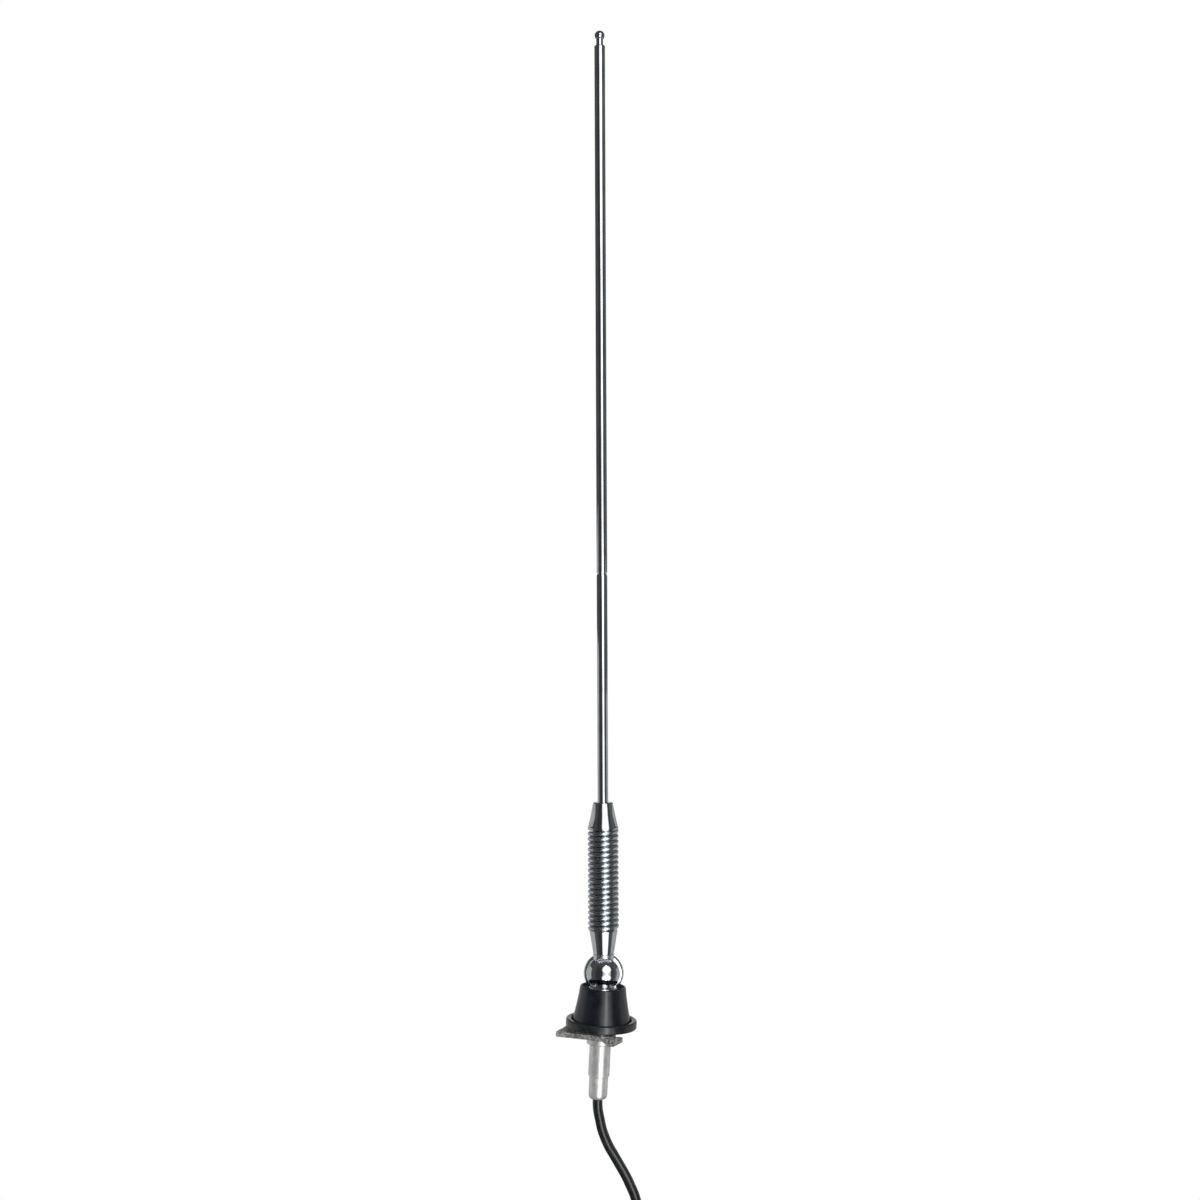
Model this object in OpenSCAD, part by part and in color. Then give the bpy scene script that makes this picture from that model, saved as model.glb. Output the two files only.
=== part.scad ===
// Telescopic spring-base whip antenna for a vehicle body panel.
// Origin: on the shank's axis, in the plane of the gasket's underside. +Z points up, away from the panel.
// The swivel turns about the Y axis. The long arm of the claw points to -X.

/* [Mast] */
// Outer diameter of the outer mast tube
outer_d = 5.35; // [4.45:0.05:7]
// Wall of the outer mast tube
outer_wall = 0.4; // [0.3:0.05:0.45]
// Radial room between the outer and the middle mast tubes
middle_room = 0.125; // [0.1:0.005:0.15]
// Wall of the middle mast tube
middle_wall = 0.35; // [0.3:0.05:0.4]
// Radial room between the middle mast tube and the inner rod
inner_room = 0.1; // [0.08:0.005:0.12]
// Length of the outer tube above the upper ferrule
mast_len = 378.25; // [300:0.25:480]
// Height of the stop crimp above the upper ferrule
crimp_up = 114; // [60:1:150]
// Depth of the stop crimp
crimp_depth = 0.3; // [0.2:0.05:0.4]
// Length of rod that shows between the outer tube and the tip button
neck_len = 3.3; // [2:0.1:8]
// Diameter of the tip button
tip_d = 5; // [4:0.1:8]
// Height of the tip button
tip_h = 4.2; // [3.5:0.1:8]
// Length of each friction shoe inside the mast
shoe_len = 12; // [8:0.5:20]
// Lean of the mast away from the base's axis, towards -X, in degrees
mast_lean = 3; // [0:0.5:15]

/* [Spring] */
// Outer diameter of the spring
spring_d = 15.5; // [14:0.1:18]
// Diameter of the spring wire
spring_wire = 2.55; // [2:0.05:3.1]
// Number of turns in the spring
spring_turns = 18; // [12:1:22]
// Gap between the turns of the spring
coil_gap = 0.08; // [0.06:0.01:0.1]
// Diameter of the braid inside the spring
braid_d = 2.4; // [1.6:0.1:4]

/* [Ferrules] */
// Height of the upper ferrule
upper_ferrule_h = 13.75; // [10:0.25:20]
// Diameter of the upper ferrule at the spring
upper_ferrule_d = 15.3; // [14:0.1:18]
// Diameter of the upper ferrule at the mast
upper_ferrule_top_d = 9.9; // [8:0.1:12]
// Height of the straight band at the wide end of the upper ferrule
ferrule_band = 1.3; // [0.5:0.1:3]
// Height of the lower ferrule
lower_ferrule_h = 12; // [8:0.25:18]
// Diameter of the lower ferrule at the spring
lower_ferrule_d = 14.2; // [13:0.1:18]
// Diameter of the lower ferrule at the swivel
lower_ferrule_foot_d = 10.4; // [8:0.1:11]
// Length of each ferrule's spigot inside the spring
spigot_len = 5; // [3:0.5:8]
// Depth of the mast's seat in the upper ferrule
mast_seat = 8; // [5:0.5:8.5]

/* [Swivel] */
// Gap between the lower ferrule's foot and the top of the larger dome
ferrule_rise = 0.05; // [0:0.05:4]
// Radius of the front dome, on the base
front_dome_r = 8.1; // [6.7:0.1:9.8]
// Height of the front dome's straight rim
front_rim = 1.4; // [0.8:0.1:2]
// Height of the front dome above its rim
front_bulge = 4.6; // [3:0.1:5.5]
// Radius of the rear dome, on the mast
rear_dome_r = 10; // [8.2:0.1:12]
// Height of the rear dome's straight rim
rear_rim = 1.7; // [1:0.1:1.9]
// Height of the rear dome above its rim
rear_bulge = 3.6; // [3:0.1:4]
// Radius of the neck under the front dome
neck_r = 5.4; // [4:0.1:5.8]
// Radius of the shoulder below the neck
shoulder_r = 7.3; // [6.4:0.1:8.8]
// Drop of the shoulder's top below the swivel's axis
shoulder_drop = 6.2; // [6:0.1:8]
// Diameter of the swivel screw
swivel_screw_d = 4; // [3:0.5:4.5]
// Diameter of the swivel screw's head
swivel_head_d = 6.8; // [6:0.1:7.2]
// Height of the swivel screw's head
swivel_head_h = 2.1; // [1.5:0.1:2.3]

/* [Base] */
// Diameter of the boot's foot
boot_d = 29.8; // [25:0.1:34]
// Diameter of the boot's top
boot_top_d = 23; // [20.5:0.1:24]
// Height of the boot's rim above the swivel's sole
boot_over_sole = 4; // [3:0.1:4.8]
// Gap between the boot's bore and the widest piece inside it
bore_room = 0.9; // [0.7:0.05:1.2]
// Height of the seat inside the boot above the panel
boot_seat_h = 5.5; // [4:0.1:6]
// Height of the gasket's bead
bead_h = 4; // [3:0.1:5]
// Width of the gasket's bead
bead_w = 2.75; // [2.4:0.05:5]
// Thickness of the gasket's web under the boot
web_t = 1.6; // [1:0.1:2]
// Thickness of the washer under the clamp nut
clamp_washer_t = 1; // [0.6:0.1:1.2]
// Size of the clamp nut across its flats
nut_af = 13.4; // [12:0.1:16]
// Height of the clamp nut
nut_h = 6; // [4:0.1:7.5]
// Length of the shank's thread above the clamp nut
thread_over_nut = 0.6; // [0.3:0.1:4]

/* [Shank] */
// Outer diameter of the shank tube
shank_d = 10.6; // [8.8:0.1:12.8]
// Wall of the shank tube
shank_wall = 1; // [0.8:0.05:1.2]
// Length of the shank tube below the panel
shank_below = 24.5; // [22:0.5:40]
// Length of the crimp ferrule below the shank tube
crimp_len = 11.5; // [8:0.5:20]
// Diameter of the crimp ferrule
crimp_d = 9.4; // [8:0.1:9.8]
// Height of the insulator's flange above the shank tube
flange_t = 1.2; // [0.8:0.1:1.4]
// Diameter of the insulator's flange
flange_d = 13; // [12:0.1:14]
// Diameter of the feed rod
feed_d = 2.4; // [1.6:0.1:3]
// Diameter of the base stem inside the insulator
stem_d = 5; // [4:0.1:6]

/* [Claw] */
// Gap between the gasket and the tips of the claw's teeth
panel_gap = 2.6; // [2.4:0.1:5]
// Thickness of the claw
claw_t = 2.7; // [2:0.1:4]
// Reach of the claw's long arm from the shank's axis
claw_reach = 21.5; // [16:0.5:30]
// Width of the claw's long arm
claw_w = 14; // [11:0.5:18]
// Turn of the claw about the shank, in degrees
claw_turn = -14; // [-40:1:40]
// Radius of the claw's hub
claw_hub_r = 7.6; // [7:0.1:9]
// Width of the claw's short tab
tab_w = 11.5; // [8:0.5:14]
// Length of the claw's short tab
tab_len = 4.4; // [3:0.1:8]
// Slope of the claw's short tab below the arm, in degrees
tab_slope = 58; // [30:1:80]
// Height of the claw's teeth
tooth_h = 0.5; // [0.3:0.1:1]
// Spacing of the claw's teeth
tooth_pitch = 1.6; // [1.2:0.1:3]
// Outer radius of the ring that holds the claw up
retainer_r = 6.9; // [6.4:0.1:7.5]
// Thickness of the ring that holds the claw up
retainer_t = 2.8; // [0.8:0.1:3.2]

/* [Cable and plug] */
// Diameter of the cable
cable_d = 5; // [4.1:0.1:6]
// Radius of the hank's inner folds, at the cable's middle
hank_fold_r = 15; // [15:0.5:20]
// Length of the hank's straight runs
hank_run = 85; // [75:1:100]
// Diameter of the plug's pin
plug_pin_d = 3.2; // [3:0.1:3.4]
// Length of the plug's pin outside the barrel
plug_pin_len = 12.5; // [10:0.5:16]
// Diameter of the plug's barrel
plug_barrel_d = 8.2; // [7.8:0.1:8.6]
// Length of the plug's barrel
plug_barrel_len = 10; // [8:0.5:14]
// Diameter of the plug's grip
plug_grip_d = 9.4; // [8.8:0.1:9.8]
// Length of the plug's grip
plug_grip_len = 10; // [8:0.5:14]
// Length of the plug's strain relief
plug_relief_len = 8; // [6:0.5:12]
// Width of the hank's tie
tie_w = 12; // [8:0.5:16]
// Thickness of the hank's tie
tie_t = 1.2; // [0.8:0.1:2]

/* [Fits] */
// Radial gap where a mast section slides
slide_gap = 0.04; // [0.02:0.01:0.08]
// Radial gap where a piece turns on another
running_gap = 0.05; // [0.02:0.01:0.08]
// Radial gap between pieces that are fixed together
seat_gap = 0.02; // [0.01:0.01:0.04]
// Gap between moving pieces that pass each other
pass_gap = 0.3; // [0.2:0.05:0.4]
// Gap between the flat faces of the swivel
face_gap = 0.1; // [0.05:0.05:0.2]

/* [Hidden] */

$fn = 64;
eps = 0.01;

chrome = "#c9ccd0";
zinc = "#9a9a98";
rubber = "#1c1e22";
cast_grey = "#6f706e";
brass = "#b08d4a";
plastic = "#e4e0d4";
jacket = "#222326";
steel = "#8d9094";

// Radii of the mast sections, from the outside in
outer_r = outer_d / 2;
outer_bore_r = outer_r - outer_wall;
middle_r = outer_bore_r - middle_room;
middle_bore_r = middle_r - middle_wall;
inner_r = middle_bore_r - inner_room;
lip_h = 1.5;
lip_chamfer = 0.5;
shoe_wall = 0.5;
middle_neck_r = outer_bore_r - slide_gap - shoe_wall;
inner_neck_r = middle_bore_r - slide_gap - shoe_wall;
tenon_r = 1;
tenon_len = 3;

// Heights along the mast, from the swivel's axis
spring_end_gap = 0.05;
coil_pitch = spring_wire + coil_gap;
stem_gap = 0.4;
saddle_t = 1.5;
ferrule_foot_up = max(front_dome_r + stem_gap + saddle_t, rear_dome_r) + ferrule_rise;
spring_foot = ferrule_foot_up + lower_ferrule_h;
spring_head = spring_foot + spring_turns * coil_pitch + spring_wire + 2 * spring_end_gap;
mast_foot = spring_head + upper_ferrule_h;
mast_top = mast_foot + mast_len;
crimp_z = mast_foot + crimp_up;
crimp_half = 1;
middle_foot = crimp_z + crimp_half + pass_gap;
middle_top = mast_top - pass_gap;
inner_foot = middle_foot + shoe_len + pass_gap;
tip_foot = mast_top + neck_len;

// Spring
coil_r = (spring_d - spring_wire) / 2;
spring_bore_r = spring_d / 2 - spring_wire;
spigot_r = spring_bore_r - pass_gap;
spring_steps = 14;
wire_sides = 8;
braid_hole_depth = 3;

// Swivel
screw_r = swivel_screw_d / 2;
head_seat = 2.5;
swivel_washer_t = 0.4;
screw_reach = 4.6;
ferrule_stud_r = 2;
ferrule_stud_len = ferrule_foot_up - front_dome_r - stem_gap - pass_gap;
slot_w = 1;
slot_depth = 0.8;
sole_t = 1.9;

// Base
shank_r = shank_d / 2;
shank_bore_r = shank_r - shank_wall;
boot_r = boot_d / 2;
nut_corner_r = nut_af / 2 / cos(30);
boot_bore_r = max(nut_corner_r, shoulder_r) + bore_room;
bead_inner_r = boot_r + 0.1;
gasket_r = bead_inner_r + bead_w;
nut_z = boot_seat_h + clamp_washer_t;
shank_top = nut_z + nut_h + thread_over_nut;
knuckle_foot = shank_top + flange_t;
sole_h = knuckle_foot + sole_t;
boot_h = sole_h + boot_over_sole;
pivot_h = sole_h + rear_dome_r + pass_gap;
stem_foot = 4;
insulator_foot = 2;
feed_foot = -shank_below + 2.5;
lower_insulator_foot = -shank_below + 4.5;
lower_insulator_len = 13;
crimp_spigot_len = 3;
crimp_tip_r = 3.6;
cable_exit = -shank_below - crimp_len;

// Claw
claw_top = -panel_gap - tooth_h;
claw_foot = claw_top - claw_t;
tooth_count = floor((claw_reach - claw_hub_r - 2) / tooth_pitch);

// Cable: it hangs from the crimp ferrule, and what is left of it is folded into a hank below
cable_sides = 12;
hank_x = 8;
hank_top = cable_exit - 59;
hank_depth = 3 * cable_d;
hank_r = hank_fold_r + 1.5 * cable_d;
hank_slot_r = hank_fold_r - cable_d / 2;
hank_fold_z = hank_top - hank_r;
tail_foot = hank_fold_z - hank_run - 3.5;
tie_z = tail_foot + 46;

// Plug: it lies behind the hank, pin up
plug_x = hank_x - hank_r + cable_d / 2;
plug_y = hank_depth / 2 + max(plug_grip_d, plug_barrel_d) / 2 + pass_gap;
plug_foot = tail_foot + 54;
grip_z = plug_foot + plug_relief_len;
barrel_z = grip_z + plug_grip_len;
pin_z = barrel_z + plug_barrel_len;
pin_shank_r = 1.1;

// The points that the cable hangs through: its share of the way across to the hank, and its drop
cable_route = [
    for (p = [
        [0, 0], [0, 2], [0.02, 6], [0.07, 10.5], [0.12, 15], [0.2, 19.5], [0.3, 24], [0.43, 28.5],
        [0.56, 33], [0.69, 37.5], [0.8, 42], [0.9, 46.5], [0.96, 51], [0.99, 56], [1, 61], [1, 66], [1, 70],
    ]) [p[0] * (hank_x + hank_fold_r), 0, cable_exit - p[1]]
];

// The points of the tail: its share of the way back to the plug, and its height above the tail's foot
tail_route = [
    for (p = [
        [0.24, 0], [0.32, 6], [0.48, 13], [0.7, 20], [0.88, 27], [0.98, 34], [1, 41], [1, 48], [1, 54],
    ]) [plug_x, p[0] * plug_y, tail_foot + p[1]]
];

// Carries what stands on the swivel: z = 0 is the swivel's axis, and the mast leans towards -X
module on_swivel() {
    translate([0, 0, pivot_h])
        rotate([0, -mast_lean, 0])
            children();
}

// A ring around Z
module ring(outer, inner, height) {
    difference() {
        cylinder(r = outer, h = height);
        translate([0, 0, -eps])
            cylinder(r = inner, h = height + 2 * eps);
    }
}

// A domed disc that stands on z = 0: a straight rim, then a spherical cap
module dome(radius, rim, bulge) {
    ball_r = (radius * radius + bulge * bulge) / (2 * bulge);
    intersection() {
        cylinder(r = radius, h = rim + bulge);
        translate([0, 0, rim + bulge - ball_r])
            sphere(r = ball_r, $fn = 96);
    }
}

function unit(v) = v / norm(v);

function heading(route, i) = unit(route[min(i + 1, len(route) - 1)] - route[max(i - 1, 0)]);

// The points of one ring of a tube, square to the route
function tube_ring(centre, along, radius, sides) =
    let (across = unit(cross(along, [0, 1, 0])), over = cross(along, across))
    [for (k = [0:sides - 1], a = 360 * k / sides) centre + radius * (cos(a) * across + sin(a) * over)];

function ring_faces(first, sides) =
    [for (k = [0:sides - 1]) let (n = (k + 1) % sides)
        [first + k, first + sides + k, first + sides + n, first + n]];

// A round tube along a route
module swept_tube(route, radius, sides) {
    last = (len(route) - 1) * sides;
    polyhedron(
        points = [for (i = [0:len(route) - 1]) each tube_ring(route[i], heading(route, i), radius, sides)],
        faces = concat(
            [[for (k = [0:sides - 1]) k]],
            [for (i = [0:len(route) - 2]) each ring_faces(i * sides, sides)],
            [[for (k = [sides - 1:-1:0]) last + k]]
        ),
        convexity = 6
    );
}

// One ring of the spring's wire: it lies across the coil, upright
function wire_ring(turn, z) = [
    for (k = [0:wire_sides - 1])
        let (r = coil_r + spring_wire / 2 * cos(360 * k / wire_sides), a = 360 * turn)
        [r * cos(a), r * sin(a), z + spring_wire / 2 * sin(360 * k / wire_sides)]
];

module gasket() {
    bead_round = bead_w / 3;
    color(rubber) difference() {
        rotate_extrude() {
            translate([shank_r + 3 * pass_gap, 0])
                square([bead_inner_r - shank_r, web_t]);
            translate([bead_inner_r, 0])
                square([bead_w, bead_h - bead_round]);
            for (x = [bead_round, bead_w - bead_round])
                translate([bead_inner_r + x, bead_h - bead_round])
                    circle(r = bead_round);
            translate([bead_inner_r + bead_round, 0])
                square([bead_w - 2 * bead_round, bead_h]);
        }
        translate([0, 0, -eps])
            cylinder(r = shank_r + 3 * pass_gap, h = web_t + 2 * eps);
    }
}

module boot() {
    rim = (boot_top_d / 2 - boot_bore_r) / 2;
    wall_top = boot_h - rim;
    color(rubber) rotate_extrude() {
        polygon([
            [shank_r + pass_gap, web_t], [boot_r, web_t], [boot_top_d / 2, wall_top],
            [boot_bore_r, wall_top], [boot_bore_r, boot_seat_h], [shank_r + pass_gap, boot_seat_h],
        ]);
        translate([boot_bore_r + rim, wall_top])
            circle(r = rim);
    }
}

module clamp_washer() {
    color(steel) translate([0, 0, boot_seat_h])
        ring(boot_bore_r - pass_gap, shank_r + pass_gap, clamp_washer_t);
}

module clamp_nut() {
    color(zinc) translate([0, 0, nut_z]) difference() {
        intersection() {
            cylinder(r = nut_corner_r, h = nut_h, $fn = 6);
            dome(nut_corner_r, nut_h - 1.2, 1.2 * 2);
        }
        translate([0, 0, -eps])
            cylinder(r = shank_r + running_gap, h = nut_h + 2 * eps);
    }
}

module shank() {
    color(zinc) translate([0, 0, -shank_below])
        ring(shank_r, shank_bore_r, shank_below + shank_top);
}

module upper_insulator() {
    color(plastic) difference() {
        union() {
            translate([0, 0, insulator_foot])
                cylinder(r = shank_bore_r - seat_gap, h = shank_top - insulator_foot + eps);
            translate([0, 0, shank_top])
                cylinder(d = flange_d, h = flange_t);
        }
        translate([0, 0, insulator_foot - eps])
            cylinder(r = stem_d / 2 + seat_gap, h = knuckle_foot - insulator_foot + 2 * eps);
    }
}

// The base's half of the swivel: sole, shoulder, neck and front dome, with the stem that feeds the mast
module base_knuckle() {
    front = -face_gap / 2;
    shoulder_top = pivot_h - shoulder_drop;
    edge = 1;
    color(chrome) difference() {
        union() {
            translate([0, 0, stem_foot])
                cylinder(d = stem_d, h = knuckle_foot - stem_foot + eps);
            translate([0, 0, knuckle_foot])
                cylinder(r = shoulder_r, h = sole_h - knuckle_foot);
            intersection() {
                union() {
                    rotate_extrude() {
                        translate([0, knuckle_foot])
                            square([shoulder_r, shoulder_top - edge - knuckle_foot]);
                        translate([0, knuckle_foot])
                            square([shoulder_r - edge, shoulder_top - knuckle_foot]);
                        translate([shoulder_r - edge, shoulder_top - edge])
                            circle(r = edge);
                    }
                    translate([0, 0, knuckle_foot])
                        cylinder(r = neck_r, h = pivot_h - knuckle_foot);
                }
                translate([-2 * shoulder_r, front - 2 * shoulder_r, 0])
                    cube([4 * shoulder_r, 2 * shoulder_r, 2 * pivot_h]);
            }
            translate([0, front, pivot_h])
                rotate([90, 0, 0])
                    dome(front_dome_r, front_rim, front_bulge);
        }
        translate([0, front + eps, pivot_h])
            rotate([90, 0, 0])
                cylinder(r = screw_r + seat_gap, h = screw_reach + face_gap);
    }
}

// The mast's half of the swivel: rear dome and the saddle that the lower ferrule screws into
module rear_knuckle() {
    back = face_gap / 2;
    saddle_r = lower_ferrule_foot_d / 2;
    saddle_foot = rear_dome_r / 2;
    color(chrome) on_swivel() difference() {
        union() {
            translate([0, back, 0])
                rotate([-90, 0, 0])
                    dome(rear_dome_r, rear_rim, rear_bulge);
            difference() {
                translate([0, 0, saddle_foot])
                    cylinder(r = saddle_r, h = ferrule_foot_up - saddle_foot);
                translate([0, back, 0])
                    rotate([90, 0, 0])
                        cylinder(r = front_dome_r + stem_gap, h = 2 * saddle_r);
            }
        }
        translate([0, back - eps, 0])
            rotate([-90, 0, 0])
                cylinder(r = screw_r + running_gap, h = rear_rim + rear_bulge + eps);
        translate([0, head_seat, 0])
            rotate([-90, 0, 0])
                cylinder(d = swivel_head_d + 2 * pass_gap, h = rear_rim + rear_bulge);
        translate([0, 0, ferrule_foot_up - ferrule_stud_len - eps])
            cylinder(r = ferrule_stud_r + seat_gap, h = ferrule_stud_len + 2 * eps);
    }
}

module swivel_screw() {
    head_y = head_seat + swivel_washer_t + 2 * running_gap;
    color(steel) translate([0, 0, pivot_h]) difference() {
        union() {
            translate([0, -screw_reach, 0])
                rotate([-90, 0, 0])
                    cylinder(r = screw_r, h = screw_reach + head_y + eps);
            translate([0, head_y, 0])
                rotate([-90, 0, 0])
                    cylinder(d = swivel_head_d, h = swivel_head_h);
        }
        translate([-swivel_head_d, head_y + swivel_head_h - slot_depth, -slot_w / 2])
            cube([2 * swivel_head_d, 2 * slot_depth, slot_w]);
    }
}

module swivel_washer() {
    color(steel) translate([0, head_seat + running_gap, pivot_h])
        rotate([-90, 0, 0])
            ring(swivel_head_d / 2, screw_r + running_gap, swivel_washer_t);
}

module feed_rod() {
    color(brass) translate([0, 0, feed_foot])
        cylinder(d = feed_d, h = stem_foot - feed_foot);
}

module lower_insulator() {
    color(plastic) translate([0, 0, lower_insulator_foot])
        ring(shank_bore_r - seat_gap, feed_d / 2 + seat_gap, lower_insulator_len);
}

module crimp_ferrule() {
    round_h = 2;
    color(zinc) rotate_extrude()
        polygon([
            [cable_d / 2 + seat_gap, cable_exit], [crimp_tip_r, cable_exit],
            [crimp_d / 2 - 0.3, cable_exit + round_h / 2], [crimp_d / 2, cable_exit + round_h],
            [crimp_d / 2, -shank_below], [shank_bore_r - seat_gap, -shank_below],
            [shank_bore_r - seat_gap, -shank_below + crimp_spigot_len],
            [cable_d / 2 + seat_gap, -shank_below + crimp_spigot_len],
        ]);
}

// The end of the cable inside the shank: the jacket, then the core that meets the feed rod
module coax_end() {
    color(jacket) union() {
        translate([0, 0, cable_exit])
            cylinder(d = cable_d, h = -shank_below - cable_exit + eps);
        translate([0, 0, -shank_below])
            cylinder(d = feed_d, h = feed_foot + shank_below);
    }
}

// One tooth across the claw's long arm, with its tip up
module tooth(width) {
    rotate([90, 0, 0])
        linear_extrude(height = width, center = true)
            polygon([[-tooth_h, -eps], [tooth_h, -eps], [0, tooth_h]]);
}

module claw() {
    tab_tip = tab_w / 8;
    color(cast_grey) rotate([0, 0, claw_turn]) difference() {
        union() {
            translate([0, 0, claw_foot]) {
                cylinder(r = claw_hub_r, h = claw_t);
                linear_extrude(height = claw_t)
                    polygon([
                        [0, -claw_hub_r + 1], [-claw_hub_r, -claw_w / 2], [-claw_reach, -claw_w / 2],
                        [-claw_reach + 2, claw_w / 2], [-claw_hub_r, claw_w / 2], [0, claw_hub_r - 1],
                    ]);
            }
            for (i = [0:tooth_count - 1])
                translate([-claw_hub_r - 2 - i * tooth_pitch, 0, claw_top])
                    tooth(claw_w - 2);
            translate([claw_hub_r - 1, -shank_r / 2, claw_top])
                rotate([tab_slope, 0, -claw_turn])
                    translate([0, -tab_len, -claw_t])
                        linear_extrude(height = claw_t)
                            polygon([
                                [-tab_tip, 0], [tab_tip, 0], [tab_w / 2, tab_len * 0.6],
                                [tab_w / 2, tab_len], [-tab_w / 2, tab_len], [-tab_w / 2, tab_len * 0.6],
                            ]);
        }
        translate([0, 0, claw_foot - 3 * claw_t])
            cylinder(r = shank_r + seat_gap, h = 5 * claw_t);
        translate([0, 0, claw_foot - 3 * claw_t])
            cylinder(r = retainer_r + pass_gap, h = 3 * claw_t);
        translate([-2 * claw_reach, -2 * claw_reach, -panel_gap])
            cube([4 * claw_reach, 4 * claw_reach, claw_t]);
    }
}

module claw_retainer() {
    color(zinc) translate([0, 0, claw_foot - retainer_t])
        ring(retainer_r, shank_r + seat_gap, retainer_t);
}

module lower_ferrule() {
    color(chrome) on_swivel() difference() {
        union() {
            translate([0, 0, ferrule_foot_up - ferrule_stud_len])
                cylinder(r = ferrule_stud_r, h = ferrule_stud_len + eps);
            translate([0, 0, ferrule_foot_up])
                cylinder(d1 = lower_ferrule_foot_d, d2 = lower_ferrule_d, h = lower_ferrule_h);
            translate([0, 0, spring_foot - eps])
                cylinder(r = spigot_r, h = spigot_len + eps);
        }
        translate([0, 0, spring_foot + spigot_len - braid_hole_depth])
            cylinder(d = braid_d + 4 * running_gap, h = braid_hole_depth + eps);
    }
}

module spring() {
    rings = spring_turns * spring_steps;
    last = rings * wire_sides;
    first_z = spring_foot + spring_end_gap + spring_wire / 2;
    color(chrome) on_swivel() polyhedron(
        points = [
            for (i = [0:rings]) each wire_ring(i / spring_steps, first_z + coil_pitch * i / spring_steps)
        ],
        faces = concat(
            [[for (k = [wire_sides - 1:-1:0]) k]],
            [for (i = [0:rings - 1], f = ring_faces(i * wire_sides, wire_sides)) [f[3], f[2], f[1], f[0]]],
            [[for (k = [0:wire_sides - 1]) last + k]]
        ),
        convexity = 20
    );
}

module spring_braid() {
    from_z = spring_foot + spigot_len - braid_hole_depth + 2 * running_gap;
    to_z = spring_head - spigot_len + braid_hole_depth - 2 * running_gap;
    color(brass) on_swivel() translate([0, 0, from_z])
        cylinder(d = braid_d, h = to_z - from_z);
}

module upper_ferrule() {
    color(chrome) on_swivel() difference() {
        union() {
            translate([0, 0, spring_head - spigot_len])
                cylinder(r = spigot_r, h = spigot_len + eps);
            translate([0, 0, spring_head])
                cylinder(d = upper_ferrule_d, h = ferrule_band + eps);
            translate([0, 0, spring_head + ferrule_band])
                cylinder(d1 = upper_ferrule_d, d2 = upper_ferrule_top_d, h = upper_ferrule_h - ferrule_band);
        }
        translate([0, 0, spring_head - spigot_len - eps])
            cylinder(d = braid_d + 4 * running_gap, h = braid_hole_depth + eps);
        translate([0, 0, mast_foot - mast_seat])
            cylinder(r = outer_r + seat_gap, h = mast_seat + eps);
    }
}

// The outer tube: its top is rolled in around the middle tube, and a crimp stops the sliding sections
module mast_outer() {
    lip_r = middle_r + slide_gap;
    color(chrome) on_swivel() rotate_extrude()
        polygon([
            [outer_bore_r, mast_foot - mast_seat], [outer_r, mast_foot - mast_seat],
            [outer_r, crimp_z - crimp_half], [outer_r - crimp_depth, crimp_z],
            [outer_r, crimp_z + crimp_half],
            [outer_r, mast_top - lip_chamfer], [outer_r - lip_chamfer / 2, mast_top], [lip_r, mast_top],
            [lip_r, mast_top - lip_h], [outer_bore_r, mast_top - lip_h],
            [outer_bore_r, crimp_z + crimp_half], [outer_bore_r - crimp_depth, crimp_z],
            [outer_bore_r, crimp_z - crimp_half],
        ]);
}

// The middle tube: necked down at its foot to carry its shoe
module mast_middle() {
    lip_r = inner_r + slide_gap;
    neck_bore_r = middle_neck_r - middle_wall;
    shoe_top = middle_foot + shoe_len;
    color(chrome) on_swivel() rotate_extrude()
        polygon([
            [neck_bore_r, middle_foot], [middle_neck_r, middle_foot], [middle_neck_r, shoe_top],
            [middle_r, shoe_top], [middle_r, middle_top - lip_chamfer],
            [middle_r - lip_chamfer / 4, middle_top],
            [lip_r, middle_top], [lip_r, middle_top - lip_h], [middle_bore_r, middle_top - lip_h],
            [middle_bore_r, shoe_top + pass_gap / 2], [neck_bore_r, shoe_top + pass_gap / 2],
        ]);
}

module middle_shoe() {
    color(brass) on_swivel() translate([0, 0, middle_foot])
        ring(outer_bore_r - slide_gap, middle_neck_r + seat_gap, shoe_len);
}

// The inner rod: necked down at its foot to carry its shoe, with a tenon for the tip button
module mast_inner() {
    color(chrome) on_swivel() union() {
        translate([0, 0, inner_foot])
            cylinder(r = inner_neck_r, h = shoe_len + eps);
        translate([0, 0, inner_foot + shoe_len])
            cylinder(r = inner_r, h = tip_foot - inner_foot - shoe_len);
        translate([0, 0, tip_foot - eps])
            cylinder(r = tenon_r, h = tenon_len + eps);
    }
}

module inner_shoe() {
    color(brass) on_swivel() translate([0, 0, inner_foot])
        ring(middle_bore_r - slide_gap, inner_neck_r + seat_gap, shoe_len);
}

module tip_button() {
    under = tip_h - tip_d / 2;
    color(chrome) on_swivel() translate([0, 0, tip_foot]) difference() {
        union() {
            cylinder(r1 = tip_d * 0.38, r2 = tip_d / 2, h = under);
            intersection() {
                translate([0, 0, under])
                    sphere(d = tip_d);
                translate([0, 0, under])
                    cylinder(d = 2 * tip_d, h = tip_d);
            }
        }
        translate([0, 0, -eps])
            cylinder(r = tenon_r + seat_gap, h = tenon_len + 2 * eps);
    }
}

module cable() {
    color(jacket) swept_tube(cable_route, cable_d / 2, cable_sides);
}

module cable_tail() {
    color(jacket) swept_tube(tail_route, cable_d / 2, cable_sides);
}

// A flat outline with straight sides and two round ends, on the XZ plane
module racetrack(radius) {
    translate([-radius, 0])
        square([2 * radius, hank_run]);
    circle(r = radius);
    translate([0, hank_run])
        circle(r = radius);
}

module cable_hank() {
    color(jacket) translate([hank_x, hank_depth / 2, hank_fold_z - hank_run])
        rotate([90, 0, 0])
            linear_extrude(height = hank_depth) difference() {
                racetrack(hank_r);
                racetrack(hank_slot_r);
            }
}

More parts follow.
